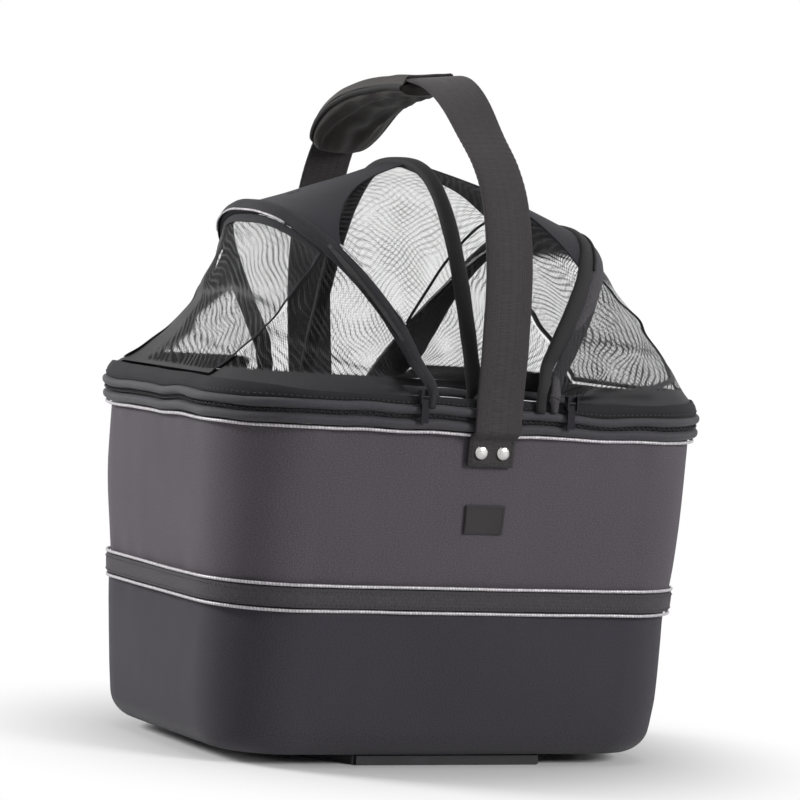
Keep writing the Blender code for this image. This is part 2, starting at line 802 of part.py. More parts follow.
def strap_curve():
    """Points of the strap's outer face and its outward normals, along a smooth curve."""
    knots = [Vector((0.0, y * strap_half_span, strap_hinge_height + z * strap_rise))
             for y, z in strap_route_shares]
    knots = [2 * knots[0] - knots[1]] + knots + [2 * knots[-1] - knots[-2]]
    spans = len(knots) - 3
    points = []
    for step in range(strap_steps + 1):
        travel = step / strap_steps * spans
        index = min(int(travel), spans - 1)
        t = travel - index
        a, b, c, d = knots[index:index + 4]
        points.append(0.5 * (2 * b + (c - a) * t + (2 * a - 5 * b + 4 * c - d) * t ** 2
                             + (3 * b - a - 3 * c + d) * t ** 3))
    normals = []
    for i in range(len(points)):
        along = points[min(i + 1, strap_steps)] - points[max(i - 1, 0)]
        normals.append(Vector((1, 0, 0)).cross(along).normalized())
    return points, normals


def add_strap(upper_wall, lining):
    """The arch that swings, its grip pad, and the two riveted ends that stay on the tub."""
    joint = add_joint("strap_hinge", (0.0, 0.0, strap_hinge_height))
    points, normals = strap_curve()
    normals[0] = Vector((0, -1, 0))
    normals[-1] = Vector((0, 1, 0))
    columns = []
    for share in strap_column_shares:
        x = share * strap_half_width
        drop = Vector((0, 0, math.sqrt(strap_end_radius ** 2 - x ** 2)))
        line = [points[0] - drop] + points[:] + [points[-1] - drop]
        columns.append([point + Vector((x, 0, 0)) for point in line])
    bm = bmesh.new()
    sheet(bm, inner_face, columns, strap_thickness)
    add_object("carrying_strap", bm, "webbing", origin=joint.location, parent=joint, smooth=True)
    first = round(grip_first_share * strap_steps)
    last = round(grip_last_share * strap_steps)
    points = points[first:last + 1]
    normals = normals[first:last + 1]
    loops = []
    for i, (point, normal) in enumerate(zip(points, normals)):
        share = i / (last - first)
        taper = math.sqrt(max(0.0, 1 - (2 * share - 1) ** grip_end_power))
        size_share = grip_end_share + (1 - grip_end_share) * taper
        width = (grip_half_width + (grip_end_half_width - grip_half_width) * share) * size_share
        deep = (grip_thickness + (grip_end_thickness - grip_thickness) * share) * size_share
        under = point - normal * (strap_thickness + seam)
        loops.append([under + Vector((a * width, 0, 0)) - normal * (b * deep)
                      for a, b in grip_outline_shares])
    bm = bmesh.new()
    skin(bm, loops)
    add_object("grip_pad", bm, "webbing", origin=joint.location, parent=joint, smooth=True)
    for end, word in ((-1, "front"), (1, "back")):
        add_strap_end(end, word, upper_wall, lining)


def add_strap_end(end, word, upper_wall, lining):
    """One riveted strap end: it lies on the wall, then steps out over the rim."""
    top = strap_hinge_height - strap_end_radius - fold_gap
    levels = [strap_tab_foot_height, rivet_height - rivet_head_radius, rivet_height + rivet_head_radius,
              strap_tab_bend_low, (strap_tab_bend_low + strap_tab_bend_high) / 2,
              strap_tab_bend_high, top]
    columns = []
    for share in (-1.0, -0.5, 0.0, 0.5, 1.0):
        x = share * strap_half_width
        column = []
        for z in levels:
            bend = (z - strap_tab_bend_low) / (strap_tab_bend_high - strap_tab_bend_low)
            bend = min(1.0, max(0.0, bend))
            flat = wall_y(x, min(z, strap_tab_bend_low)) + seam * 2
            proud = strap_half_span - strap_thickness
            smooth_bend = bend * bend * (3 - 2 * bend)
            y = flat + (proud - flat) * smooth_bend
            column.append(Vector((-end * x, end * y, z)))
        columns.append(column)
    bm = bmesh.new()
    sheet(bm, outer_face, columns, strap_thickness)
    tab = add_object(word + "_strap_end", bm, "webbing")
    lean = wall_lean()
    wall_face = wall_y(0.0, rivet_height)
    tab_face = seam * 2 + strap_thickness
    tail_face = wall_thickness + seam + lining_thickness + seam
    cutters = []
    turn = Matrix.Rotation(math.pi if end > 0 else 0.0, 4, "Z")
    frame = turn @ Matrix.Translation((0, -wall_face, rivet_height)) @ Matrix.Rotation(
        math.pi / 2 + lean, 4, "X")
    for side, side_word in ((-1, "left"), (1, "right")):
        place = frame @ Matrix.Translation((-end * side * rivet_half_pitch, 0, 0))
        dome = [(rivet_head_radius, tab_face + seam)]
        dome += [(rivet_head_radius * radius_share, tab_face + rivet_head_height * height_share)
                 for radius_share, height_share in rivet_dome_shares]
        shank = [(rivet_tail_radius, -tail_face - rivet_tail_height), (rivet_tail_radius, -tail_face),
                 (rivet_shank_radius, -tail_face), (rivet_shank_radius, tab_face + seam)]
        bm = bmesh.new()
        turned(bm, shank + dome, 12, place)
        add_object(f"{word}_{side_word}_rivet", bm, "bright_steel", smooth=True)
        cutters.append(cylinder(place, rivet_shank_radius + seam, -tail_face - cut_overrun,
                                tab_face + cut_overrun, 12))
    for obj in (tab, upper_wall, lining):
        cut(obj, cutters)


def add_label():
    """A plain woven tag sewn on the front wall."""
    columns = []
    for share in (-1.0, -0.5, 0.0, 0.5, 1.0):
        x = share * label_half_width
        columns.append([Vector((x, -wall_y(x, z) - seam, z)) for z in
                        (label_height - label_half_height, label_height, label_height + label_half_height)])
    bm = bmesh.new()
    sheet(bm, outer_face, columns, label_thickness)
    add_object("label_tag", bm, "label_weave")


# Inside the tub

def add_leash_ring():
    """A webbing loop on the lining that holds a steel ring for a leash."""
    inner = wall_y(leash_x, leash_height) - wall_thickness - seam - lining_thickness - fold_gap * 2
    centre_y = inner - leash_loop_depth / 2
    centre = Vector((leash_x, centre_y, leash_height))
    bm = bmesh.new()
    low = leash_height - leash_bore_radius - leash_wire_radius
    box(bm, (leash_x - leash_loop_half_width, centre_y - leash_loop_depth / 2, low),
        (leash_x + leash_loop_half_width, inner, low + leash_loop_length))
    loop = add_object("leash_loop", bm, "webbing")
    across = Matrix.Translation(centre) @ Matrix.Rotation(math.pi / 2, 4, "Y")
    reach = leash_loop_half_width + cut_overrun
    cut(loop, [cylinder(across, leash_bore_radius, -reach, reach, 10)])
    joint = add_joint("leash_ring_hinge", centre)
    points = [Vector((side * leash_ring_half_width, 0, 0)) for side in (-1, 0, 1)]
    arc_steps = 8
    for step in range(arc_steps + 1):
        angle = math.pi * step / arc_steps
        drop = leash_ring_drop - leash_ring_half_width * (1 - math.sin(angle))
        points.append(Vector((leash_ring_half_width * math.cos(angle), 0, -drop)))
    bm = bmesh.new()
    tube(bm, [centre + point for point in points], leash_wire_radius, 6, up=Vector((0, 1, 0)),
         closed=True)
    add_object("leash_ring", bm, "bright_steel", origin=centre, parent=joint, smooth=True)


# The mount on the back

mount_face = wall_y(0.0, mount_high) + seam + mount_thickness


def add_mount_plate(upper_wall, lining):
    """A plate with two hooked rails on the back wall, bolted to a stiffener inside."""
    def outline(z):
        inner_xs = [mount_half_width * share for share in (1.0, 0.5, 0.0, -0.5, -1.0)]
        inner = [(x, wall_y(x, z) + seam) for x in inner_xs]
        outer = []
        for side in (-1, 1):
            rail = [(mount_half_width, 0.0), (rail_outer, 0.0), (rail_outer, rail_depth),
                    (rail_lip_inner, rail_depth), (rail_lip_inner, rail_lip_under),
                    (rail_inner, rail_lip_under), (rail_inner, 0.0)]
            if side > 0:
                rail = rail[::-1]
            outer += [(side * x, mount_face + y) for x, y in rail]
        return [Vector((x, y, z)) for x, y in inner + outer]

    bm = bmesh.new()
    skin(bm, [outline(mount_low), outline(mount_high - channel_stop_height)])
    plate = add_object("mount_plate", bm, "black_plastic")
    bm = bmesh.new()
    low = mount_high - channel_stop_height
    top_outline = [Vector((x, y, 0)) for x, y in (
        (mount_half_width, mount_face), (rail_outer, mount_face), (rail_outer, mount_face + rail_depth),
        (-rail_outer, mount_face + rail_depth), (-rail_outer, mount_face), (-mount_half_width, mount_face))]

    def stop_loop(z):
        inner_xs = [-mount_half_width * share for share in (1.0, 0.5, 0.0, -0.5, -1.0)]
        back = [Vector((x, wall_y(x, z) + seam, z)) for x in inner_xs]
        return back + [Vector((p.x, p.y, z)) for p in top_outline]

    skin(bm, [stop_loop(low), stop_loop(mount_high)])
    stop = add_object("mount_plate_stop", bm, "black_plastic")
    stop.hide_render = True
    stop.display_type = "WIRE"
    join = plate.modifiers.new("join", "BOOLEAN")
    join.operation = "UNION"
    join.object = stop
    stiffener = add_stiffener()
    add_mount_bolts(plate, upper_wall, lining, stiffener)


def stiffener_y(x, z, depth):
    """The stiffener's face inside the lining at a depth from it."""
    return wall_y(x, z) - wall_thickness - lining_thickness - seam * 2 - depth


def add_stiffener():
    """A plastic plate inside the lining, behind the mount plate."""
    columns = []
    for share in (-1.0, -0.5, 0.0, 0.5, 1.0):
        x = share * stiffener_half_width
        columns.append([Vector((x, stiffener_y(x, z, 0.0), z))
                        for z in (mount_low - stiffener_margin, mount_high - stiffener_margin / 2)])
    bm = bmesh.new()
    sheet(bm, outer_face, columns, stiffener_thickness)
    return add_object("back_stiffener", bm, "board_plastic")


def add_mount_bolts(plate, upper_wall, lining, stiffener):
    """Two bolts with nuts on the outside, through the wall and both plates."""
    cutters = []
    z = (mount_low + mount_high) / 2
    for side, word in ((-1, "left"), (1, "right")):
        x = side * mount_bolt_x
        inner = stiffener_y(x, z, stiffener_thickness)
        lean_slack = (mount_bolt_head_radius + seam) * math.tan(wall_lean())
        head = inner - seam - lean_slack
        nut = mount_face + seam
        place = Matrix.Translation((x, 0, z)) @ Matrix.Rotation(-math.pi / 2, 4, "X")
        bm = bmesh.new()
        turned(bm, [(mount_bolt_head_radius, head - mount_bolt_head_height),
                    (mount_bolt_head_radius, head), (mount_bolt_radius, head),
                    (mount_bolt_radius, nut), (mount_bolt_nut_radius, nut),
                    (mount_bolt_nut_radius, nut + mount_bolt_nut_height)], 8, place)
        add_object(word + "_mount_bolt", bm, "bright_steel")
        cutters.append(cylinder(place, mount_bolt_radius + seam, head - cut_overrun,
                                nut + cut_overrun, 8))
    for obj in (plate, upper_wall, lining, stiffener):
        cut(obj, cutters)


def add_adapter():
    """The handlebar adapter: a tongue in the channel, a clamp block, its cap and two bolts."""
    bar_y = mount_face + bar_distance
    low = adapter_height - adapter_half_height
    high = adapter_height + adapter_half_height
    joint = add_joint("adapter_slide", (0.0, bar_y, adapter_height))
    tongue = rail_inner - seam * 2
    neck = rail_lip_inner - adapter_neck_clearance
    tongue_low = mount_face + seam
    tongue_high = tongue_low + adapter_tongue_thickness
    block_low = mount_face + rail_depth + seam
    split_low = bar_y - split_gap / 2
    half = [(tongue, tongue_low), (tongue, tongue_high), (neck, tongue_high), (neck, block_low),
            (saddle_half_width, block_low), (saddle_half_width, split_low)]
    outline = half + [(-x, y) for x, y in half[::-1]]
    bm = bmesh.new()
    skin(bm, [[Vector((x, y, z)) for x, y in outline] for z in (low, high)])
    adapter = add_object("handlebar_adapter", bm, "black_plastic", origin=joint.location, parent=joint)
    along_bar = Matrix.Translation((0, bar_y, adapter_height)) @ Matrix.Rotation(math.pi / 2, 4, "Y")
    reach = saddle_half_width + cut_overrun
    bar = cylinder(along_bar, bar_radius, -reach, reach, 20)
    pocket_low = high - button_below - spring_height - seam * 2
    pocket_y = block_low + button_pocket_setback
    wide = button_half_width + button_clearance
    deep = button_half_depth + button_clearance
    pocket = block((-wide, pocket_y - deep, pocket_low), (wide, pocket_y + deep, high + cut_overrun))
    cut(adapter, [bar, pocket])
    cap_face = bar_y + bar_radius + cap_thickness
    bm = bmesh.new()
    box(bm, (-saddle_half_width, bar_y + split_gap / 2, low), (saddle_half_width, cap_face, high))
    cap = add_object("clamp_cap", bm, "black_plastic", origin=joint.location, parent=joint)
    cut(cap, [bar])
    holes = []
    for up, word in ((-1, "lower"), (1, "upper")):
        place = Matrix.Translation((0, 0, adapter_height + up * clamp_bolt_offset)) @ Matrix.Rotation(
            -math.pi / 2, 4, "X")
        tip = bar_y - clamp_bolt_depth
        head = cap_face + seam
        bm = bmesh.new()
        turned(bm, [(clamp_bolt_radius, tip), (clamp_bolt_radius, head), (clamp_bolt_head_radius, head),
                    (clamp_bolt_head_radius, head + clamp_bolt_head_height)], 8, place)
        add_object(word + "_clamp_bolt", bm, "bright_steel", origin=joint.location, parent=joint)
        holes.append(cylinder(place, clamp_bolt_radius + seam, tip - seam, cap_face + cut_overrun, 8))
    cut(adapter, holes)
    cut(cap, holes)
    add_button(joint, pocket_y, pocket_low, high)


def add_button(joint, pocket_y, pocket_low, block_top):
    """The release button in its pocket, on a coil spring."""
    under = block_top - button_below
    button_joint = add_joint("button_slide", (0.0, pocket_y, under))
    bm = bmesh.new()
    box(bm, (-button_half_width, pocket_y - button_half_depth, under),
        (button_half_width, pocket_y + button_half_depth, block_top + button_above))
    bevel_all(bm, button_bevel)
    add_object("release_button", bm, "button_plastic", origin=button_joint.location, parent=button_joint)
    foot = pocket_low + seam
    wire_low = foot + spring_wire_radius
    climb = under - seam - spring_wire_radius - wire_low
    total = spring_turns * spring_points_a_turn
    points = []
    for step in range(total + 1):
        angle = math.tau * spring_turns * step / total
        points.append(Vector((spring_radius * math.cos(angle), pocket_y + spring_radius * math.sin(angle),
                              wire_low + climb * step / total)))
    bm = bmesh.new()
    tube(bm, points, spring_wire_radius, 5, up=Vector((0, 0, 1)))
    add_object("button_spring", bm, "spring_steel", origin=joint.location, parent=joint, smooth=True)
    turn_gap = climb / spring_turns - 2 * spring_wire_radius
    print("button spring: least gap between turns", round(turn_gap * 1000, 2), "mm")


# Zip sliders

def slider_outline():
    """A slider from above, in (x, depth) points: a base with two ears."""
    ear_tip = slider_base_depth + slider_ear_depth
    inner = slider_half_width - slider_ear_width
    half = [(slider_half_width, 0.0), (slider_half_width, ear_tip), (inner, ear_tip),
            (inner, slider_base_depth)]
    return half + [(-x, depth) for x, depth in half[::-1]]


def pull_outline():
    """A pull from the side, in (depth, height) points round its pivot: a barrel and a flat tab."""
    steps = 6
    barrel = []
    for step in range(steps + 1):
        angle = -math.pi / 4 + 1.5 * math.pi * step / steps
        barrel.append((pull_barrel_radius * math.cos(angle), pull_barrel_radius * math.sin(angle)))
    face = pull_thickness / 2
    return barrel + [(-face, -pull_barrel_radius * 1.5), (-face, -pull_length), (face, -pull_length),
                     (face, -pull_barrel_radius * 1.5)]


def add_door_slider(side, word):
    """The slider at the foot of a side door's zip, on the base band, and its hanging pull."""
    x = side * door_slider_x
    nearest = wall_y(side * (door_slider_x - slider_half_width), door_slider_height + slider_half_height)
    level = -nearest - base_band_outset - base_band_thickness - seam
    bm = bmesh.new()
    skin(bm, [[Vector((x + across, level - depth, door_slider_height + z))
               for across, depth in slider_outline()] for z in (-slider_half_height, slider_half_height)])
    add_object(word + "_door_slider", bm, "bright_steel")
    pivot = Vector((x, level - slider_base_depth - seam - pull_barrel_radius, door_slider_height))
    hinge = add_joint(word + "_door_pull_hinge", pivot)
    half = slider_half_width - slider_ear_width - seam
    bm = bmesh.new()
    skin(bm, [[pivot + Vector((across, depth, z)) for depth, z in pull_outline()]
              for across in (-half, half)])
    add_object(word + "_door_pull", bm, "bright_steel", origin=pivot, parent=hinge)


def add_rim_slider():
    """The slider of the rim's zip, at the back, with its pull in one piece."""
    z = zip_z + zip_height / 2
    level = wall_y(rim_slider_x - slider_half_width, z + rim_roll_height) + rim_roll_outset + seam
    start = Vector((rim_slider_x, level, z))
    joint = add_joint("rim_zip_slide", start)
    half = slider_half_width - slider_ear_width
    tab_low = slider_base_depth
    tab_high = tab_low + pull_thickness
    outline = [(0.0, -slider_half_height), (0.0, slider_half_height), (tab_low, slider_half_height),
               (tab_high, slider_half_height), (tab_high, -pull_length), (tab_low, -pull_length),
               (tab_low, -slider_half_height)]
    bm = bmesh.new()
    skin(bm, [[start + Vector((across, depth, height)) for depth, height in outline]
              for across in (-half, half)])
    add_object("rim_zip_slider", bm, "bright_steel", origin=start, parent=joint)


lower_shell, upper_wall, lining = add_tub()
add_rim()
floor_board = add_floor()
add_base_plate(lower_shell, lining, floor_board)
add_hoops()
add_gores()
add_skirts()
add_strap(upper_wall, lining)
add_label()
add_leash_ring()
add_mount_plate(upper_wall, lining)
add_adapter()
add_door_slider(-1, "left")
add_door_slider(1, "right")
add_rim_slider()
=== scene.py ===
import bisect
import math

import bmesh
import bpy
from mathutils import Matrix, Vector, noise


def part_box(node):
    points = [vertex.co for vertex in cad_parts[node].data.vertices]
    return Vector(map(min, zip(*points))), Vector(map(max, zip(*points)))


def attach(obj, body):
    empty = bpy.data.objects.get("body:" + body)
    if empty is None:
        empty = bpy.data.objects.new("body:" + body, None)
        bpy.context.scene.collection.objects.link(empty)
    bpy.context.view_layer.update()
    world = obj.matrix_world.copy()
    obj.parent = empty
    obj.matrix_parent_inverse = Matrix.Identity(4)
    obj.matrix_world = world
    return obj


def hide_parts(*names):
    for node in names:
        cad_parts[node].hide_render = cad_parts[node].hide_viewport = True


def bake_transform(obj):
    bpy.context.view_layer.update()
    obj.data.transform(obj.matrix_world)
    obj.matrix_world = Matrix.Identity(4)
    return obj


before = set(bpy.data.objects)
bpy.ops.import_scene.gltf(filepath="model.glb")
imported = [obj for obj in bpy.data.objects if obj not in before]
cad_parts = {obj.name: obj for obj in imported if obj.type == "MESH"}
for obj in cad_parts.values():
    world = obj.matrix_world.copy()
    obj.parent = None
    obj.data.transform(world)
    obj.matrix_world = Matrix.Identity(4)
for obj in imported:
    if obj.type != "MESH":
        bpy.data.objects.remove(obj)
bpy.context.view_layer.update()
scene = bpy.context.scene
print("frame loaded:", len(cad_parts), "nodes")


# Camera

view = {
    "place": (-1.342, -2.578, 0.3893),
    "target": (0.0, 0.0, 0.262),
    "roll": 3.9,          # degrees, clockwise as the camera sees it
    "lens": 172.0,
}

cameraData = bpy.data.cameras.new("photoCamera")
cameraData.lens = view["lens"]
cameraData.clip_end = 30
camera = bpy.data.objects.new("photoCamera", cameraData)
scene.collection.objects.link(camera)
aim = (Vector(view["target"]) - Vector(view["place"])).to_track_quat("-Z", "Y")
tilt = Matrix.Rotation(math.radians(view["roll"]), 4, "Z")
camera.matrix_world = Matrix.Translation(view["place"]) @ aim.to_matrix().to_4x4() @ tilt
scene.camera = camera
scene.view_settings.view_transform = "Standard"


# Materials

def linear(code):
    # A node's colour from its code, such as "#625c63"; a link or a ready colour passes through.
    if not isinstance(code, str):
        return code
    parts = [int(code[i:i + 2], 16) / 255 for i in (1, 3, 5)]
    return [p / 12.92 if p <= 0.04045 else ((p + 0.055) / 1.055) ** 2.4 for p in parts] + [1.0]


def startMaterial(name):
    material = bpy.data.materials.new(name)
    material.use_nodes = True
    return material, material.node_tree, material.node_tree.nodes["Principled BSDF"]


def feed(tree, node, inputs):
    # Each input takes a link or a plain value.
    for key, value in inputs.items():
        if isinstance(value, bpy.types.NodeSocket):
            tree.links.new(value, node.inputs[key])
        else:
            node.inputs[key].default_value = value


def addNode(tree, kind, inputs=None, **settings):
    made = tree.nodes.new("ShaderNode" + kind)
    for key, value in settings.items():
        setattr(made, key, value)
    feed(tree, made, inputs or {})
    return made


def math2(tree, operation, first, second=0.0, third=0.0):
    return addNode(tree, "Math", {0: first, 1: second, 2: third}, operation=operation).outputs[0]


def blendColours(tree, factor, first, second):
    inputs = {0: factor, 6: linear(first), 7: linear(second)}
    return addNode(tree, "Mix", inputs, data_type="RGBA", blend_type="MIX").outputs[2]


def stretched(tree, source, scale=(1, 1, 1), turn=0.0):
    spot = addNode(tree, "TexCoord").outputs[source]
    return addNode(tree, "Mapping", {"Vector": spot, "Scale": scale, "Rotation": (0, 0, turn)}).outputs[0]


def axesOf(tree, pitch=math.pi, turn=0.0):
    # The UV's two ways, scaled so that a sine of each has one dent to a pitch.
    spot = stretched(tree, "UV", (math.pi / pitch,) * 2 + (1,), turn)
    return addNode(tree, "SeparateXYZ", {0: spot}).outputs


def cloud(tree, spot, scale, detail=2.0, rough=0.5):
    return addNode(tree, "TexNoise", {"Vector": spot, "Scale": scale, "Detail": detail,
                                      "Roughness": rough}).outputs["Fac"]


def steps(tree, factor, low, high):
    made = addNode(tree, "MapRange", {"Value": factor, "From Min": low, "From Max": high})
    made.interpolation_type = "SMOOTHSTEP"
    return made.outputs[0]


def applyBump(tree, shader, height, strength, distance):
    bump = addNode(tree, "Bump", {"Height": height, "Strength": strength, "Distance": distance})
    tree.links.new(bump.outputs[0], shader.inputs["Normal"])


def wovenCloth(name, look):
    # Crossed yarns of two tones on the piece's own UV, which is in metres.
    material, tree, shader = startMaterial(name)
    across = axesOf(tree, look["pitch"])
    warp = math2(tree, "ABSOLUTE", math2(tree, "SINE", across["X"]))
    weft = math2(tree, "ABSOLUTE", math2(tree, "SINE", across["Y"]))
    over = steps(tree, math2(tree, "MULTIPLY", math2(tree, "SINE", across["X"]),
                             math2(tree, "SINE", across["Y"])), -0.25, 0.25)
    yarn = addNode(tree, "Mix", {0: over, 2: warp, 3: weft}, data_type="FLOAT").outputs[0]
    grainSpot = stretched(tree, "UV", (look.get("grainAlong", 1.0), look.get("grainAcross", 1.0), 1))
    grain = cloud(tree, grainSpot, look["grain"], 2.0, 0.6)
    mix = look.get("mix", 0.24)
    speckle = steps(tree, grain, 0.5 - mix, 0.5 + mix)
    patches = cloud(tree, stretched(tree, "UV"), 14, 3.0)
    colour = blendColours(tree, speckle, look["dark"], look["light"])
    shade = steps(tree, patches, 0.25, 0.75)
    colour = blendColours(tree, math2(tree, "MULTIPLY", shade, look.get("patchShare", 0.25)),
                          colour, look["wornAndLitTone"])
    # The gaps between the yarns are darker: painted shade in the weave's recesses.
    gapShade, depth = steps(tree, yarn, 0.0, 0.5), look.get("gapShadeDepth", 0.35)
    feed(tree, shader, {
        "Base Color": blendColours(tree, math2(tree, "MULTIPLY_ADD", gapShade, depth, 1 - depth),
                                   (0, 0, 0, 1), colour),
        "Roughness": math2(tree, "MULTIPLY_ADD", grain, 0.2, look["rough"] - 0.1),
        "Specular IOR Level": look.get("gloss", 0.25),
        "Sheen Weight": look.get("sheen", 0.12),
        "Sheen Roughness": 0.5,
    })
    height = math2(tree, "MULTIPLY_ADD", grain, 0.5, yarn)
    applyBump(tree, shader, height, look["bump"], look.get("bumpDepth", 0.0003))
    return material


wallCloth = wovenCloth("wallCloth", {
    "light": "#625c63", "dark": "#3c373e", "wornAndLitTone": "#59535a", "pitch": 0.0011, "grain": 1500,
    "grainAlong": 0.6, "rough": 0.9, "bump": 0.4, "patchShare": 0.3, "gapShadeDepth": 0.22})
shellCloth = wovenCloth("shellCloth", {
    "light": "#434047", "dark": "#2a282e", "wornAndLitTone": "#3c3940", "pitch": 0.0011, "grain": 1500,
    "grainAlong": 0.6, "rough": 0.9, "bump": 0.4, "patchShare": 0.3, "gapShadeDepth": 0.22})
beltCloth = wovenCloth("beltCloth", {
    "light": "#4d494d", "dark": "#333035", "wornAndLitTone": "#474347", "pitch": 0.0012, "grain": 900,
    "rough": 0.84, "bump": 0.6, "gloss": 0.3})
rollCloth = wovenCloth("rollCloth", {
    "light": "#3f3d44", "dark": "#28262b", "wornAndLitTone": "#39373d", "pitch": 0.0009, "grain": 900,
    "grainAlong": 0.4, "rough": 0.7, "bump": 0.5, "gloss": 0.4})
bandCloth = wovenCloth("bandCloth", {
    "light": "#222125", "dark": "#121114", "wornAndLitTone": "#1c1b1f", "pitch": 0.0011, "grain": 800, "rough": 0.8,
    "bump": 0.6, "gloss": 0.25, "sheen": 0.04})
canopyCloth = wovenCloth("canopyCloth", {
    "light": "#2a2830", "dark": "#19181c", "wornAndLitTone": "#25232a", "pitch": 0.0009, "grain": 900, "rough": 0.7,
    "bump": 0.4, "gloss": 0.25, "sheen": 0.04})
sleeveCloth = wovenCloth("sleeveCloth", {
    "light": "#232224", "dark": "#121113", "wornAndLitTone": "#1d1c1e", "pitch": 0.0010, "grain": 700, "mix": 0.22,
    "rough": 0.74, "bump": 0.5, "gloss": 0.25, "sheen": 0.05})
bindingCloth = wovenCloth("bindingCloth", {
    "light": "#302f34", "dark": "#1c1b1e", "wornAndLitTone": "#2b2a2f", "pitch": 0.0012, "grain": 600,
    "grainAcross": 2.0, "rough": 0.76, "bump": 0.7, "gloss": 0.22, "sheen": 0.05})
hemCloth = wovenCloth("hemCloth", {
    "light": "#4d4b4f", "dark": "#302e32", "wornAndLitTone": "#454347", "pitch": 0.0012, "grain": 600,
    "grainAcross": 2.0, "rough": 0.76, "bump": 0.7, "gloss": 0.25, "sheen": 0.06})
webCloth = wovenCloth("webCloth", {
    "light": "#3f3b3c", "dark": "#272325", "wornAndLitTone": "#393536", "pitch": 0.0013, "grain": 700,
    "grainAlong": 2.0, "grainAcross": 0.5, "mix": 0.26, "rough": 0.72, "bump": 0.7, "bumpDepth": 0.0004,
    "gloss": 0.3, "sheen": 0.06, "gapShadeDepth": 0.3})
gripCloth = wovenCloth("gripCloth", {
    "light": "#322d2b", "dark": "#1c1918", "wornAndLitTone": "#2d2826", "pitch": 0.0009, "grain": 800,
    "rough": 0.68, "bump": 0.45, "gloss": 0.35, "sheen": 0.06})
liningCloth = wovenCloth("liningCloth", {
    "light": "#57545a", "dark": "#3e3c42", "wornAndLitTone": "#4e4b51", "pitch": 0.0007, "grain": 900, "mix": 0.25,
    "rough": 0.7, "bump": 0.3, "gloss": 0.35})
tagCloth = wovenCloth("tagCloth", {
    "light": "#2e2529", "dark": "#181416", "wornAndLitTone": "#261e21", "pitch": 0.0006, "grain": 500,
    "grainAcross": 4.0, "mix": 0.22, "rough": 0.62, "bump": 0.6, "gloss": 0.4})
tapeCloth = wovenCloth("tapeCloth", {
    "light": "#2a2a2f", "dark": "#17171a", "wornAndLitTone": "#232327", "pitch": 0.0008, "grain": 600, "mix": 0.2,
    "rough": 0.8, "bump": 0.5})


def netting(name, look):
    # Two layers of a fine knitted net: threads on two diagonals, clear holes, and the wandering lines
    # where the layers' threads fall between each other. The fold attribute closes the holes: partly real
    # folds, partly painted shade.
    material, tree, shader = startMaterial(name)
    across = axesOf(tree, look["pitch"], math.pi / 4)
    near = [math2(tree, "ABSOLUTE", math2(tree, "SINE", across[axis])) for axis in ("X", "Y")]
    flat = axesOf(tree, look["lines"], look["linesTurn"])["X"]
    drift = cloud(tree, stretched(tree, "UV"), look["wanderScale"], 1.5)
    flow = math2(tree, "MULTIPLY_ADD", drift, look["wander"], flat)
    contour = math2(tree, "ABSOLUTE", math2(tree, "SINE", flow))
    patches = cloud(tree, stretched(tree, "UV"), 30, 2.0)
    strong = math2(tree, "MULTIPLY", steps(tree, patches, 0.30, 0.65), look["linesDepth"])
    # Closing the holes makes the dark net show solid: partly folds and a doubled foot, partly painted
    # shade.
    fold = addNode(tree, "Attribute", attribute_name="fold").outputs["Fac"]
    crossing = math2(tree, "MULTIPLY", math2(tree, "SUBTRACT", 1.0, steps(tree, contour, 0.15, 0.85)),
                     math2(tree, "MULTIPLY_ADD", fold, 0.5, strong))
    thick = math2(tree, "ADD", math2(tree, "MULTIPLY_ADD", fold, 0.55, look["thread"]), crossing)
    above = math2(tree, "ADD", thick, 0.20)
    hole = math2(tree, "MULTIPLY", steps(tree, near[0], thick, above), steps(tree, near[1], thick, above))
    hole = math2(tree, "MULTIPLY", hole, math2(tree, "SUBTRACT", 1.0, steps(tree, fold, 0.45, 1.0)))
    feed(tree, shader, {
        "Alpha": math2(tree, "SUBTRACT", 1.0, hole),
        "Base Color": blendColours(tree, patches, look["dark"], look["light"]),
        "Roughness": 0.6, "Specular IOR Level": 0.35,
    })
    applyBump(tree, shader, math2(tree, "MINIMUM", near[0], near[1]), 0.4, 0.0003)
    return material


netCloth = netting("netCloth", {
    "light": "#232227", "dark": "#131315", "pitch": 0.0011, "thread": 0.0, "lines": 0.0040,
    "linesTurn": 0.35, "linesDepth": 0.34, "wander": 15.0, "wanderScale": 26.0})
skirtCloth = netting("skirtCloth", {
    "light": "#1d1c20", "dark": "#101012", "pitch": 0.0012, "thread": 0.02, "lines": 0.0040,
    "linesTurn": 1.1, "linesDepth": 0.48, "wander": 14.0, "wanderScale": 24.0})


def braided(name, look):
    # Retroreflective cord: pale strands that twist round the cord, with painted shade in the grooves
    # between them.
    material, tree, shader = startMaterial(name)
    parts = axesOf(tree)
    slant = math2(tree, "MULTIPLY_ADD", parts["Y"], look["slant"],
                  math2(tree, "MULTIPLY", parts["X"], math.tau / look["pitch"]))
    strand = math2(tree, "ABSOLUTE", math2(tree, "SINE", math2(tree, "MULTIPLY", slant, 0.5)))
    # Darker where the strands dip: painted shade.
    body = steps(tree, strand, 0.12, 0.5)
    wear = cloud(tree, stretched(tree, "UV"), 320, 2.0)
    pale = blendColours(tree, steps(tree, wear, 0.3, 0.7), look["grey"], look["pale"])
    feed(tree, shader, {"Base Color": blendColours(tree, body, look["seam"], pale),
                        "Roughness": 0.38, "Metallic": 0.15})
    applyBump(tree, shader, strand, 0.4, 0.0002)
    return material


pipingCord = braided("pipingCord", {"pale": "#d8d4d8", "grey": "#a9a5aa", "seam": "#8b878d",
                                    "pitch": 0.0022, "slant": 900})


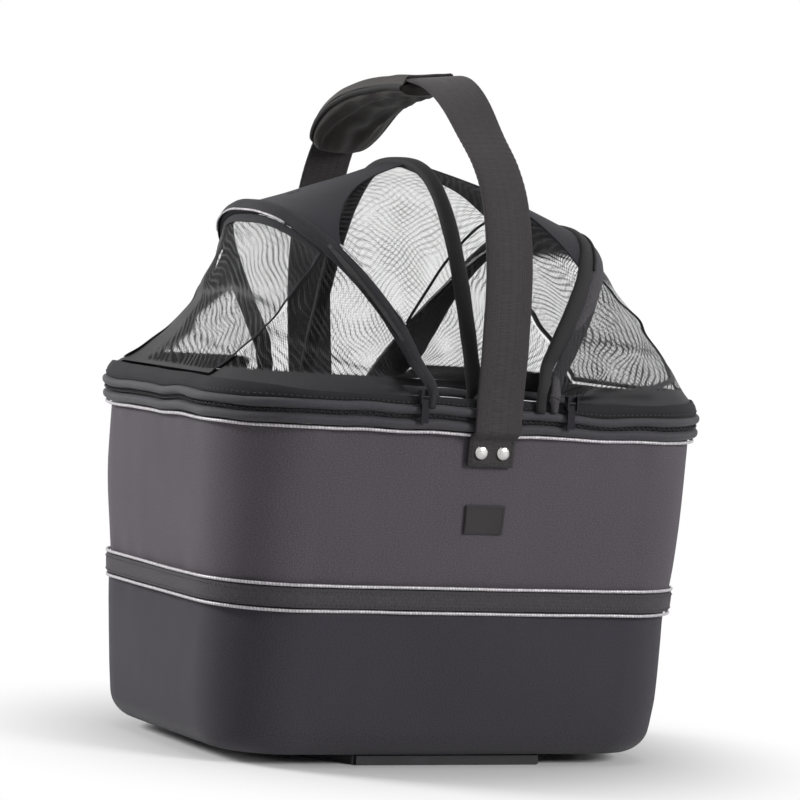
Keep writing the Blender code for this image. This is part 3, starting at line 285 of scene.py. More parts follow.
def moulded(name, look):
    # Moulded plastic with a fine eroded grain and faint handling marks.
    material, tree, shader = startMaterial(name)
    spot = stretched(tree, "Object")
    grain = cloud(tree, spot, look.get("grain", 1400), 3.0, 0.6)
    marks = cloud(tree, stretched(tree, "Object", (1, 0.25, 4)), 60, 4.0, 0.7)
    colour = blendColours(tree, steps(tree, marks, 0.45, 0.8), look["colour"], look["wornAndLitTone"])
    rough = math2(tree, "MULTIPLY_ADD", marks, 0.25, look["rough"] - 0.12)
    feed(tree, shader, {"Base Color": colour, "Roughness": rough, "Specular IOR Level": 0.45})
    applyBump(tree, shader, grain, look.get("bump", 0.25), 0.0002)
    return material


blackPlastic = moulded("blackPlastic", {"colour": "#18171a", "wornAndLitTone": "#2a292c", "rough": 0.5})
boardPlastic = moulded("boardPlastic", {"colour": "#26252a", "wornAndLitTone": "#3a383d", "rough": 0.6,
                                        "bump": 0.35})
buttonPlastic = moulded("buttonPlastic", {"colour": "#7f1d1b", "wornAndLitTone": "#94302c", "rough": 0.4})
zipPlastic = moulded("zipPlastic", {"colour": "#1c1c20", "wornAndLitTone": "#323237", "rough": 0.42, "grain": 2000})
rodGlass = moulded("rodGlass", {"colour": "#1a1a1b", "wornAndLitTone": "#303033", "rough": 0.3, "grain": 900})


def polished(name, look):
    # Plated metal: small ripples, fine wipe lines and dull specks.
    material, tree, shader = startMaterial(name)
    lines = cloud(tree, stretched(tree, "Object", (1, 1, 12)), 220, 4.0, 0.7)
    specks = steps(tree, cloud(tree, stretched(tree, "Object"), 900, 2.0), 0.55, 0.8)
    colour = blendColours(tree, specks, look["colour"], look["dull"])
    rough = math2(tree, "MULTIPLY_ADD", lines, 0.22, look["rough"])
    feed(tree, shader, {"Base Color": colour, "Metallic": 1.0, "Roughness": rough})
    applyBump(tree, shader, lines, 0.12, 0.0002)
    return material


brightSteel = polished("brightSteel", {"colour": "#c9c8c7", "dull": "#8f8d8b", "rough": 0.12})
springSteel = polished("springSteel", {"colour": "#9a9794", "dull": "#6b6865", "rough": 0.25})
blackZinc = polished("blackZinc", {"colour": "#262528", "dull": "#1b1a1c", "rough": 0.42})


def fleece(name, look):
    # Short curly pile: clumps over fine hairs.
    material, tree, shader = startMaterial(name)
    clumps = cloud(tree, stretched(tree, "Object"), 170, 3.0, 0.65)
    hairs = cloud(tree, stretched(tree, "Object"), 900, 3.0, 0.7)
    height = math2(tree, "MULTIPLY_ADD", hairs, 0.4, clumps)
    # The pile is darker where it is low: painted shade in its hollows.
    colour = blendColours(tree, steps(tree, height, 0.4, 0.95), look["dark"], look["light"])
    feed(tree, shader, {"Base Color": colour, "Roughness": 0.95, "Sheen Weight": 0.35,
                        "Sheen Roughness": 0.4})
    applyBump(tree, shader, height, 0.9, 0.0016)
    return material


cushionFleece = fleece("cushionFleece", {"light": "#8d898c", "dark": "#5b575b"})


def threadMaterial(name, colour, wornAndLitTone):
    material, tree, shader = startMaterial(name)
    # The twist's raised bands take the lighter tone: painted highlight on the crests and painted shade in
    # the grooves.
    twist = addNode(tree, "TexWave", {"Vector": stretched(tree, "Object"), "Scale": 900.0,
                                      "Distortion": 2.0}).outputs["Fac"]
    feed(tree, shader, {"Base Color": blendColours(tree, twist, colour, wornAndLitTone),
                        "Roughness": 0.6})
    applyBump(tree, shader, twist, 0.4, 0.0001)
    return material


darkThread = threadMaterial("darkThread", "#2a292c", "#3d3b3f")
print("materials made")


# Building blocks for pieces

def addPiece(name, bm, material, body="basket", replaces=(), crease=None):
    for face in bm.faces:
        face.smooth = True
    if crease:
        for edge in bm.edges:
            if len(edge.link_faces) == 2 and edge.calc_face_angle() > math.radians(crease):
                edge.smooth = False
    mesh = bpy.data.meshes.new(name)
    bm.to_mesh(mesh)
    bm.free()
    mesh.materials.append(material)
    piece = bpy.data.objects.new(name, mesh)
    scene.collection.objects.link(piece)
    if replaces:
        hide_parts(*replaces)
    if body:
        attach(piece, body)
    return piece


def gridOver(placeAt, counts, size, ends=False, foldAndShadeAt=None):
    # A grid laid over a surface; its UV is in metres, and edges that meet are joined.
    # The fold value says how closed a net is at each point, from 0 to 1; closing stands partly for real
    # folds and partly for painted shade.
    bm = bmesh.new()
    uvLayer = bm.loops.layers.uv.new("UVMap")
    bmesh.ops.create_grid(bm, x_segments=counts[0], y_segments=counts[1], size=0.5)
    for face in bm.faces:
        for loop in face.loops:
            spot = loop.vert.co
            loop[uvLayer].uv = ((spot.x + 0.5) * size[0], (spot.y + 0.5) * size[1])
    foldAndShadeLayer = bm.verts.layers.float.new("fold") if foldAndShadeAt else None
    for vert in bm.verts:
        u, v = vert.co.x + 0.5, vert.co.y + 0.5
        vert.co = placeAt(u, v)
        if foldAndShadeAt:
            vert[foldAndShadeLayer] = foldAndShadeAt(u, v)
    bmesh.ops.remove_doubles(bm, verts=bm.verts, dist=0.000002)
    if ends:
        openEdges = [edge for edge in bm.edges if edge.is_boundary]
        bmesh.ops.holes_fill(bm, edges=openEdges, sides=0)
    bmesh.ops.recalc_face_normals(bm, faces=bm.faces)
    return bm


def thicken(piece, thickness, offset=-1.0):
    layer = piece.modifiers.new("thickness", "SOLIDIFY")
    layer.thickness = thickness
    layer.offset = offset
    layer.use_even_offset = False


def wobble(x, y, z):
    return noise.noise(Vector((x, y, z)))


def closeBottom(bm, below):
    bottom = [edge for edge in bm.edges if edge.is_boundary and edge.verts[0].co.z < below]
    bmesh.ops.holes_fill(bm, edges=bottom, sides=0)
    bmesh.ops.recalc_face_normals(bm, faces=bm.faces)


def smoothStep(value, low=0.0, high=1.0):
    value = min(1.0, max(0.0, (value - low) / (high - low)))
    return value * value * (3 - 2 * value)


def swell(value, centre, width):
    return math.exp(-((value - centre) / width) ** 2)


def rounded(turn, power):
    # One point of a squarish ring; turn runs from 0 to 1.
    c, s = math.cos(math.tau * turn), math.sin(math.tau * turn)
    return (math.copysign(abs(c) ** (2 / power), c), math.copysign(abs(s) ** (2 / power), s))


sides = ((-1, "left"), (1, "right"))
ends = ((-1, "front"), (1, "back"))

# The tub's plan: a rounded rectangle whose sides bulge and which widens upward.

tub = {
    "footZ": 0.0073, "height": 0.2403,
    "footHalf": (0.187, 0.130), "rimHalf": (0.201, 0.148),
    "corner": (0.055, 0.059), "bulge": (0.004, 0.0075), "footBulge": 0.4,
    "flatShare": 0.442, "arcShare": 0.297, "around": 1.13,
}


def tubPoint(around, z, outset=0.0, lift=0.0):
    # around runs 0 at the back, 0.25 left, 0.5 front, 0.75 right.
    share = (z - tub["footZ"]) / tub["height"]
    halfX = tub["footHalf"][0] + (tub["rimHalf"][0] - tub["footHalf"][0]) * share + outset
    halfY = tub["footHalf"][1] + (tub["rimHalf"][1] - tub["footHalf"][1]) * share + outset
    radius = tub["corner"][0] + (tub["corner"][1] - tub["corner"][0]) * share + outset
    bulgeShare = tub["footBulge"] + (1 - tub["footBulge"]) * share
    bulgeX, bulgeY = tub["bulge"][0] * bulgeShare, tub["bulge"][1] * bulgeShare
    straightX, straightY = halfX - bulgeX, halfY - bulgeY
    quarter = int(around * 4) % 4
    part = around * 4 % 1
    if quarter % 2:
        part = 1 - part
    flat, arc = tub["flatShare"], tub["arcShare"]
    if part < flat:
        x, y = (straightX - radius) * part / flat, straightY
    elif part < flat + arc:
        angle = (part - flat) / arc * math.pi / 2
        x = straightX - radius + radius * math.sin(angle)
        y = straightY - radius + radius * math.cos(angle)
    else:
        x, y = straightX, (straightY - radius) * (1 - part) / (1 - flat - arc)
    pushX = bulgeX * max(0.0, 1 - (y / straightY) ** 2)
    pushY = bulgeY * max(0.0, 1 - (x / straightX) ** 2)
    return Vector(((x + pushX) * (-1 if quarter < 2 else 1),
                   (y + pushY) * (1 if quarter in (0, 3) else -1), z + lift))


def frontAround(x):
    return 0.5 + x / 0.138 * tub["flatShare"] / 4


def ripple(around, z, size, seed=0.0):
    # Smooth noise that closes round the tub; size is in metres.
    radius = tub["around"] / math.tau / size
    turn = math.tau * around
    return wobble(radius * math.cos(turn), radius * math.sin(turn), z / size + seed)


def rimDip(around):
    return swell(around, frontAround(0.092), 0.036)


def rimWave(around):
    turn = math.tau * around
    return (0.0006 * math.sin(3 * turn + 0.6) + 0.0005 * math.sin(7 * turn + 2.1)
            + 0.0004 * math.sin(16 * turn + 4.0) + 0.0012 * ripple(around, 0, 0.03, 3.0))


def cornerDent(around, share):
    # The tub's front corners are pressed in, most at half the height of each wall.
    return (swell(around, 0.386, 0.016) + swell(around, 0.614, 0.016)) * math.sin(math.pi * share)


wall = {"low": 0.1306, "high": 0.2484, "thickness": 0.0044, "puff": 0.0016, "dent": 0.0016,
        "counts": (300, 60)}


def wallOutset(around, z):
    share = (z - wall["low"]) / (wall["high"] - wall["low"])
    edge = max(0.0, 1 - min(share, 1 - share) / 0.16)
    share = min(1.0, max(0.0, share))
    puff = wall["puff"] * (math.sin(math.pi * share) ** 0.6 - 0.55)
    broad = 0.0024 * ripple(around, z, 0.075, 7.0)
    creases = 0.0009 * ripple(around, z * 0.4, 0.016, 2.0) * (0.25 + edge)
    pressed = -0.0007 * swell(around, 0.5, 0.022) * smoothStep(z, 0.215, 0.226)
    return puff + broad + creases + pressed - wall["dent"] * cornerDent(around, share)


def placeWall(around, up):
    z = wall["low"] + (wall["high"] - wall["low"]) * up
    lift = (0.5 * rimWave(around) - 0.0008 * rimDip(around)) * smoothStep(up, 0.7, 1.0)
    return tubPoint(around, z, wallOutset(around, z), lift)


bm = gridOver(placeWall, wall["counts"], (tub["around"], wall["high"] - wall["low"]))
thicken(addPiece("upperWallCloth", bm, wallCloth, replaces=["upper_wall"]),
        wall["thickness"])

shell = {"fillet": 0.020, "high": 0.1178, "thickness": 0.0044, "puff": 0.0012, "dent": 0.0012,
         "turn": 0.16, "counts": (300, 64)}


def foldedFoot(look, floor, up):
    # The height and the inset of a wall that turns in to the floor round a fillet.
    if up < look["turn"]:
        angle = up / look["turn"] * math.pi / 2
        return floor + look["fillet"] * (1 - math.cos(angle)), look["fillet"] * (1 - math.sin(angle))
    start = floor + look["fillet"]
    return start + (look["high"] - start) * (up - look["turn"]) / (1 - look["turn"]), 0.0


def placeShell(around, up):
    z, inset = foldedFoot(shell, tub["footZ"], up)
    if up < shell["turn"]:
        return tubPoint(around, z, -inset)
    share = (z - tub["footZ"]) / (shell["high"] - tub["footZ"])
    edge = max(0.0, 1 - (1 - share) / 0.2)
    puff = shell["puff"] * (math.sin(math.pi * share) ** 0.6 - 0.3 * edge)
    soft = 0.0022 * ripple(around, z, 0.08, 11.0)
    soft += 0.0008 * ripple(around, z * 0.4, 0.018, 5.0) * (0.3 + edge)
    soft -= shell["dent"] * cornerDent(around, share)
    return tubPoint(around, z, (puff + soft) * smoothStep(z, 0.02, 0.05))


bm = gridOver(placeShell, shell["counts"], (tub["around"], 0.125))
closeBottom(bm, 0.01)
thicken(addPiece("lowerShellCloth", bm, shellCloth, replaces=["lower_shell"]),
        shell["thickness"])
print("tub walls made")


# Rings that go round the tub: belt, pipings, rim rolls, zip and canopy band.

def ringRound(name, look, material, replaces, centreAt):
    half, power = look["half"], look.get("power", 2.0)

    def place(around, turn):
        outset, z, fat = centreAt(around)
        a, b = rounded(turn, power)
        return tubPoint(around, z + b * half[1] * fat, outset + a * half[0] * fat)

    girth = 2 * math.pi * math.sqrt((half[0] ** 2 + half[1] ** 2) / 2)
    bm = gridOver(place, look["counts"], (tub["around"], girth))
    addPiece(name, bm, material, replaces=replaces)


belt = {"half": (0.0022, 0.0072), "z": 0.12415, "outset": 0.0011, "slack": 0.0003,
        "pipings": (0.1150, 0.1333), "stitches": (0.1192, 0.1291), "face": 0.0034, "pitch": 0.0036}
piping = {"half": (0.0012, 0.0012), "counts": (560, 10), "belt": 0.0024, "rim": 0.0026, "z": 0.2468,
          "dip": 0.0012}
rim = {
    "low": {"half": (0.0068, 0.0037), "z": 0.2525, "outset": -0.0010, "dip": 0.0020},
    "zip": {"half": (0.0050, 0.0015), "z": 0.2579, "outset": -0.0020, "dip": 0.0026},
    "high": {"half": (0.0068, 0.0036), "z": 0.2633, "outset": -0.0010, "dip": 0.0036},
}

ringRound("beltWebbing", {"half": belt["half"], "power": 4.0, "counts": (300, 20)}, beltCloth,
          ["belt_band"],
          lambda around: (belt["outset"] + belt["slack"] * ripple(around, 0, 0.03, 1.0), belt["z"], 1.0))
for word, node, z in zip(("Low", "High"), ("lower", "upper"), belt["pipings"]):
    ringRound("beltPiping" + word, piping, pipingCord, ["belt_piping_" + node],
              lambda around: (piping["belt"], z + 0.0004 * ripple(around, 0, 0.05, z * 90), 1.0))
ringRound("rimPipingCord", piping, pipingCord, ["rim_piping"],
          lambda around: (piping["rim"],
                          piping["z"] + 0.6 * rimWave(around) - piping["dip"] * rimDip(around), 1.0))


def rollAt(look, around, wave, slack, fat, seed):
    return (look["outset"] + slack * ripple(around, 0, 0.02, seed),
            look["z"] + wave * rimWave(around) - look["dip"] * rimDip(around),
            1.0 + fat * ripple(around, 0, 0.025, seed + 4.0))


ringRound("rimRollLow", {"half": rim["low"]["half"], "power": 2.6, "counts": (420, 20)}, rollCloth,
          ["rim_roll_lower"],
          lambda around: rollAt(rim["low"], around, 1.0, 0.0005, 0.10, 21.0))
ringRound("rimZipTape", {"half": rim["zip"]["half"], "power": 3.0, "counts": (420, 8)}, tapeCloth,
          ["rim_zipper"],
          lambda around: rollAt(rim["zip"], around, 1.0, 0.0, 0.0, 0.0))
ringRound("rimRollHigh", {"half": rim["high"]["half"], "power": 2.6, "counts": (420, 20)}, rollCloth,
          ["rim_roll_upper"],
          lambda around: rollAt(rim["high"], around, 1.1, 0.0006, 0.12, 31.0))

coil = {"pitch": 0.0021, "outset": 0.0028, "stagger": 0.0005, "tooth": (0.0018, 0.00075, 0.0007)}
bm = bmesh.new()
teeth = int(tub["around"] / coil["pitch"])
for tooth in range(teeth):
    around = tooth / teeth
    z = rim["zip"]["z"] + rimWave(around) - rim["zip"]["dip"] * rimDip(around)
    z += coil["stagger"] if tooth % 2 else -coil["stagger"]
    here = tubPoint(around, z, coil["outset"])
    ahead = tubPoint((around + 0.001) % 1, z, coil["outset"])
    turn = (ahead - here).to_track_quat("Y", "Z").to_matrix().to_4x4()
    size = Matrix.Diagonal(coil["tooth"] + (1,))
    place = Matrix.Translation(here) @ turn @ size
    bmesh.ops.create_icosphere(bm, subdivisions=1, radius=1.0, matrix=place)
addPiece("rimZipTeeth", bm, zipPlastic)

band = {"low": 0.2668, "top": 0.2776, "front": 0.2728, "outset": 0.0030, "thickness": 0.0015,
        "counts": (360, 10)}


def placeBand(around, up):
    low = band["low"] + rimWave(around) - 0.0040 * rimDip(around)
    facing = smoothStep(abs(math.cos(math.tau * around)), 0.45, 0.9)
    top = band["top"] + (band["front"] - band["top"]) * facing + 0.0008 * ripple(around, 0, 0.03, 43.0)
    z = low + (top - low) * up
    slack = 0.0006 * ripple(around, z, 0.022, 41.0) + 0.0012 * math.sin(math.pi * up)
    lean = 0.0016 + 0.0036 * (1 - facing)
    return tubPoint(around, z, band["outset"] - lean * up + slack)


bm = gridOver(placeBand, band["counts"], (tub["around"], 0.0168))
thicken(addPiece("canopyBaseBand", bm, bandCloth, replaces=["canopy_base_band"]),
        band["thickness"])
print("rim made")


# Lining and cushion

lining = {"outset": -0.0056, "floor": 0.0142, "fillet": 0.014, "high": 0.2486, "thickness": 0.0010,
          "turn": 0.09}


def placeLining(around, up):
    z, inset = foldedFoot(lining, lining["floor"], up)
    if up < lining["turn"]:
        return tubPoint(around, z, lining["outset"] - inset)
    soft = 0.0016 * ripple(around, z * 0.5, 0.035, 51.0)
    soft *= smoothStep(z, 0.02, 0.06) * (1 - smoothStep(z, 0.235, lining["high"]))
    return tubPoint(around, z, lining["outset"] - 0.0008 - abs(soft))


bm = gridOver(placeLining, (300, 60), (tub["around"], 0.245))
closeBottom(bm, 0.02)
thicken(addPiece("linerCloth", bm, liningCloth, replaces=["inner_lining"]),
        lining["thickness"])

cushion = {"low": 0.0180, "half": (0.1570, 0.1030), "deep": 0.0200, "crown": 0.006, "voxel": 0.005,
           "pressure": 4.0, "frames": 16, "cap": 0.005, "radius": 0.045}


def roundCorner(x, y, half, radius):
    # Pulls a square plan in to rounded corners.
    overX, overY = abs(x) - (half[0] - radius), abs(y) - (half[1] - radius)
    if overX > 0 and overY > 0:
        far = max(overX, overY)
        reach = math.hypot(overX, overY)
        x = math.copysign(half[0] - radius + overX * far / reach, x)
        y = math.copysign(half[1] - radius + overY * far / reach, y)
    return x, y


def makeCushion():
    bm = bmesh.new()
    bmesh.ops.create_cube(bm, size=1.0)
    bmesh.ops.subdivide_edges(bm, edges=bm.edges, cuts=15, use_grid_fill=True)
    for vert in bm.verts:
        x, y = vert.co.x * 2 * cushion["half"][0], vert.co.y * 2 * cushion["half"][1]
        x, y = roundCorner(x, y, cushion["half"], cushion["radius"])
        inward = min(1.0, 2 * min(0.5 - abs(vert.co.x), 0.5 - abs(vert.co.y)) / 0.5)
        crown = cushion["crown"] * inward ** 0.6 if vert.co.z > 0 else 0.0
        vert.co = Vector((x, y, cushion["low"] + cushion["deep"] * (vert.co.z + 0.5) + crown))
    bmesh.ops.recalc_face_normals(bm, faces=bm.faces)
    pad = addPiece("sleepingCushion", bm, cushionFleece, replaces=["cushion"])
    remesh = pad.modifiers.new("remesh", "REMESH")
    remesh.mode = "VOXEL"
    remesh.voxel_size = cushion["voxel"]
    remesh.use_smooth_shade = True
    bakeModifiers(pad)
    before = [vert.co.copy() for vert in pad.data.vertices]
    cloth = pad.modifiers.new("cloth", "CLOTH")
    cloth.settings.use_pressure = True
    cloth.settings.uniform_pressure_force = cushion["pressure"]
    cloth.settings.effector_weights.gravity = 0.0
    cloth.settings.quality = 5
    cloth.point_cache.frame_start = 1
    cloth.point_cache.frame_end = cushion["frames"]
    for step in range(1, cushion["frames"] + 1):
        scene.frame_set(step)
    bakeModifiers(pad)
    scene.frame_set(1)
    for vert, start in zip(pad.data.vertices, before):
        move = vert.co - start
        if move.length > cushion["cap"]:
            move *= cushion["cap"] / move.length
        spot = start + move
        spot.z = max(spot.z, cushion["low"] - 0.0002)
        edgeShare = max(abs(spot.x) / cushion["half"][0], abs(spot.y) / cushion["half"][1])
        tuft = sum(math.exp(-((spot.x - x) ** 2 + (spot.y - y) ** 2) / 0.00012)
                   for x in (-0.075, 0.0, 0.075) for y in (-0.038, 0.038))
        if spot.z > cushion["low"] + 0.008:
            spot.z -= 0.0045 * tuft * (1 if edgeShare < 0.95 else 0)
            spot.z += 0.0010 * noise.noise(spot * 30)
        vert.co = spot
    smooth = pad.modifiers.new("finer", "SUBSURF")
    smooth.levels = smooth.render_levels = 1


def bakeModifiers(piece):
    # Turns the piece's modifiers into plain mesh.
    graph = bpy.context.evaluated_depsgraph_get()
    fresh = bpy.data.meshes.new_from_object(piece.evaluated_get(graph))
    piece.modifiers.clear()
    piece.data = fresh


makeCushion()
rope = {"half": (0.1600, 0.1060), "z": 0.0290, "thick": 0.0016}


def placeWelt(around, turn):
    a, b = rounded(turn, 2.0)
    c, s = rounded(around, 5.0)
    out = Vector((c, s, 0)).normalized()
    return Vector((c * rope["half"][0], s * rope["half"][1], rope["z"])) + out * (a * rope["thick"]) \
        + Vector((0, 0, b * rope["thick"]))


bm = gridOver(placeWelt, (240, 8), (0.9, 0.01))
addPiece("cushionWelt", bm, liningCloth)
print("inside made")


# Canopy: three hoops, net gores, ridge panels, corner nets and doors.

hoops = {
    "z": 0.2671, "netZ": 0.2794, "halfDepth": 0.1445, "drop": 0.18, "overBand": 0.0122,
    "heart": (0.020, 0.262),
    -1: {"foot": (-0.0529, -0.0340), "apex": -0.1343, "rise": 0.1338, "wide": 2.71, "high": 1.21,
         "spread": (1.62, 1.05)},
    0: {"foot": (-0.0120, -0.0120), "apex": -0.0150, "rise": 0.1750, "wide": 2.80, "high": 0.90,
         "spread": (1.00, 1.00)},
    1: {"foot": (0.0285, 0.0610), "apex": 0.1200, "rise": 0.1312, "wide": 3.02, "high": 1.43,
         "spread": (1.09, 0.85)},
}


def hoopPoint(side, t):
    look = hoops[side]
    around = math.pi * t
    y = -math.copysign(abs(math.cos(around)) ** (2 / look["wide"]), math.cos(around)) * hoops["halfDepth"]
    high = max(0.0, math.sin(around)) ** (2 / look["high"])
    foot, spread = look["foot"][t > 0.5], look["spread"][t > 0.5]
    x = foot + (look["apex"] - foot) * high ** spread
    return Vector((x, y, hoops["z"] + look["rise"] * high))


def hoopAt(side, share):
    # share runs 0 at the net's front foot, 1 at the apex, 2 at the back foot.
    high = (hoops["netZ"] - hoops["z"]) / hoops[side]["rise"]
    start = math.asin(high ** (hoops[side]["high"] / 2)) / math.pi
    return hoopPoint(side, start + (0.5 - start) * share)


def hoopRoute(side, share):
    # The sleeve's own way: a side hoop's feet come down over the outside of the base band.
    near = min(share, 2 - share)
    here = hoopAt(side, min(2.0, max(0.0, share)))
    here.z += min(0.0, near) * hoops["drop"]
    if side:
        here.y += math.copysign(hoops["overBand"] * (1 - smoothStep(near, 0.0, 0.15)), here.y)
    return here


def hoopFrame(side, share):
    # The sleeve's middle, its way out of the canopy, and sideways in the canopy's cloth.
    here = hoopRoute(side, share)
    along = (hoopRoute(side, share + 0.01) - hoopRoute(side, share - 0.01)).normalized()
    out = here - Vector((side * hoops["heart"][0], 0, hoops["heart"][1]))
    out = (out - along * out.dot(along)).normalized()
    return here, out, along.cross(out)


sleeves = {
    # over: how far it runs past the net's feet; flat, slim: at the feet; flare: of the back leg, from, to
    "left": {"side": -1, "half": (0.0058, 0.0038), "over": 0.082, "flat": 0.45, "slim": 0.36,
             "flare": (0.25, 1.3, 1.8)},
    "centre": {"side": 0, "half": (0.0060, 0.0040), "over": 0.062, "flat": 0.0, "slim": 0.0,
               "flare": (0.0, 1.0, 2.0)},
    "right": {"side": 1, "half": (0.0062, 0.0037), "over": 0.082, "flat": 0.45, "slim": 0.36,
              "flare": (1.1, 1.45, 2.0)},
}


def addSleeve(word, look):
    side, over = look["side"], look["over"]
    flare, flareStart, flareStop = look["flare"]

    def place(along, turn):
        share = -over + 2 * (1 + over) * along
        here, out, across = hoopFrame(side, share)
        a, b = rounded(turn, 2.4)
        flat = 1 - look["flat"] * (1 - smoothStep(min(share, 2 - share), -0.02, 0.13))
        wide = look["half"][0] * (1 + 0.10 * wobble(share * 9, side * 4, 0))
        wide *= 1 - look["slim"] * (1 - smoothStep(share, -0.08, 0.30))
        wide *= 1 + flare * smoothStep(share, flareStart, flareStop)
        return here + across * (a * wide) + out * (b * look["half"][1] * flat)

    bm = gridOver(place, (170, 18), (0.5, 0.03), ends=True)
    addPiece(word + "HoopSleeve", bm, sleeveCloth, replaces=[word + "_hoop_sleeve"])


for word, look in sleeves.items():
    addSleeve(word, look)


def addHoopTape(name, side, look):
    # A folded binding that lies on the sleeve, from one share of the hoop to another.
    first, last = look["span"]

    def place(along, turn):
        share = first + (last - first) * along
        here, out, across = hoopFrame(side, share)
        a, b = rounded(turn, 3.2)
        end = 1 - 0.35 * (swell(along, 0, 0.03) + swell(along, 1, 0.03))
        end *= 1 - 0.36 * (1 - smoothStep(share, -0.08, 0.30))
        drift = look["drift"] + 0.0006 * wobble(share * 7, side, 2.0)
        lift = look["lift"] + 0.0005 * wobble(share * 12, side, 5.0)
        bend = look.get("bend", 0.0) * a * a
        return (here + across * (drift + a * look["half"][0] * end)
                + out * (lift - bend + b * look["half"][1]))

    bm = gridOver(place, (120, 16), (0.3 * (last - first), 2.4 * look["half"][0]), ends=True)
    addPiece(name, bm, look["material"])


tapes = {
    "leftHoopBinding": (-1, {"span": (-0.078, 1.42), "half": (0.0060, 0.0010), "drift": -0.0010,
                             "lift": 0.0041, "bend": 0.0014, "material": bindingCloth,
                             "slot": "binding_fabric"}),
    "rightHoopBinding": (1, {"span": (-0.078, 1.22), "half": (0.0062, 0.0014), "drift": 0.0112,
                             "lift": 0.0022, "bend": 0.0012, "material": hemCloth,
                             "slot": "binding_fabric"}),
    "rightHoopEdge": (1, {"span": (0.60, 1.20), "half": (0.0011, 0.0012), "drift": 0.0050,
                          "lift": 0.0040, "material": sleeveCloth, "slot": "canopy_fabric"}),
    # The long pale strip on the door-side edge is reflective cord, laid only over the stretch where it
    # shows bright, so it is partly a painted highlight; the two short pale strips on the ridge-side edge
    # are painted highlights on the sleeve.
    "leftHoopGlint": (-1, {"span": (0.80, 1.30), "half": (0.0008, 0.0007), "drift": -0.0074,
                           "lift": 0.0030, "material": pipingCord, "slot": "reflective_piping"}),
    "leftHoopPaintedGlintHigh": (-1, {"span": (0.50, 0.60), "half": (0.0006, 0.0005), "drift": 0.0056,
                               "lift": 0.0046, "material": pipingCord, "slot": "reflective_piping"}),
    "leftHoopPaintedGlintLow": (-1, {"span": (0.27, 0.33), "half": (0.0006, 0.0005), "drift": 0.0054,
                              "lift": 0.0048, "material": pipingCord, "slot": "reflective_piping"}),
}
for name, (side, look) in tapes.items():
    addHoopTape(name, side, look)


slackNet = {"inward": 0.004, "rise": {-1: 0.0, 1: 0.0045}, "wave": (0.0016, 0.0014)}


def gorePoint(side, u, share):
    # A point between the centre hoop (u 0) and a side hoop (u 1).
    start, end = hoopAt(0, share), hoopAt(side, share)
    point = start.lerp(end, u)
    slack = 4 * u * (1 - u)
    inward = slackNet["inward"] * slack * math.sin(0.5 * math.pi * max(0.0, min(share, 2 - share)))
    point.y -= math.copysign(inward, point.y)
    point.z += slackNet["wave"][0] * slack * wobble(u * 3 + side * 5, share * 4, 1.0)
    point.y += slackNet["wave"][1] * slack * wobble(u * 5, share * 9, side * 3.0)
    point.z += slackNet["rise"][side] * slack * swell(share, 1.0, 0.5)
    return point


ridge = {"proud": 0.0007, "centre": 0.96, "front": 0.56, "back": 0.78, "lap": 0.012,
         "thickness": 0.0008, "wide": 0.145}


def ridgeShare(u, way=-1):
    # How far up its hoops the net goes before the solid ridge starts, at the front and at the back.
    foot = ridge["front"] if way < 0 else ridge["back"]
    return ridge["centre"] + (foot - ridge["centre"]) * u ** 2


def areaOf(bm):
    return sum(face.calc_area() for face in bm.faces)


def addStretched(name, bm, material, replaces, body="basket", thick=None):
    area = areaOf(bm)
    piece = addPiece(name, bm, material, body=body, replaces=replaces)
    if thick:
        thicken(piece, thick, 0.0)


gores = {"front": -1, "back": 1, "wide": 0.115, "foot": -0.05}
for side, word in sides:
    for end in ("front", "back"):
        way = gores[end]

        def placeNet(u, up):
            share = gores["foot"] + (ridgeShare(u, way) - gores["foot"]) * up
            return gorePoint(side, u, share if way < 0 else 2 - share)

        bm = gridOver(placeNet, (24, 60), (0.10, 0.19))
        addStretched(f"{end}{word.title()}Net", bm, netCloth, [f"{end}_{word}_net"])

    def placeRidge(u, along):
        first, last = ridgeShare(u) - ridge["lap"], 2 - ridgeShare(u, 1) + ridge["lap"]
        point = gorePoint(side, u, first + (last - first) * along)
        point.z += ridge["proud"]
        return point

    bm = gridOver(placeRidge, (26, 60), (0.125, 0.17))
    addStretched(f"{word}RidgeCloth", bm, canopyCloth, [f"{word}_ridge_panel"],
                 thick=ridge["thickness"])


backSeam = {"across": 0.82, "start": 1.16, "half": (0.0014, 0.0008)}


def placeSeam(along, turn):
    # The sewn seam beside the right hoop's back leg.
    share = backSeam["start"] + (2 - backSeam["start"]) * along
    here = gorePoint(1, backSeam["across"], share)
    ahead = gorePoint(1, backSeam["across"], share + 0.01)
    forward = (ahead - here).normalized()
    out = Vector((0, 1, 0.4))
    out = (out - forward * out.dot(forward)).normalized()
    a, b = rounded(turn, 2.0)
    return here + forward.cross(out) * (a * backSeam["half"][0]) + out * (b * backSeam["half"][1])


bm = gridOver(placeSeam, (60, 8), (0.16, 0.008), ends=True)
addPiece("backSeamTape", bm, sleeveCloth)

skirt = {"startX": 0.063, "cornerX": 0.1395, "cornerY": 0.0825, "radius": 0.059, "bulge": 0.0075,
         "seam": 0.62, "start": 0.04, "drop": (0.0065, 0.0045), "cornerWide": 0.13, "doorWide": 0.165,
         "sag": {-1: (0.0125, 0.75), 1: (-0.0105, 1.1)}}


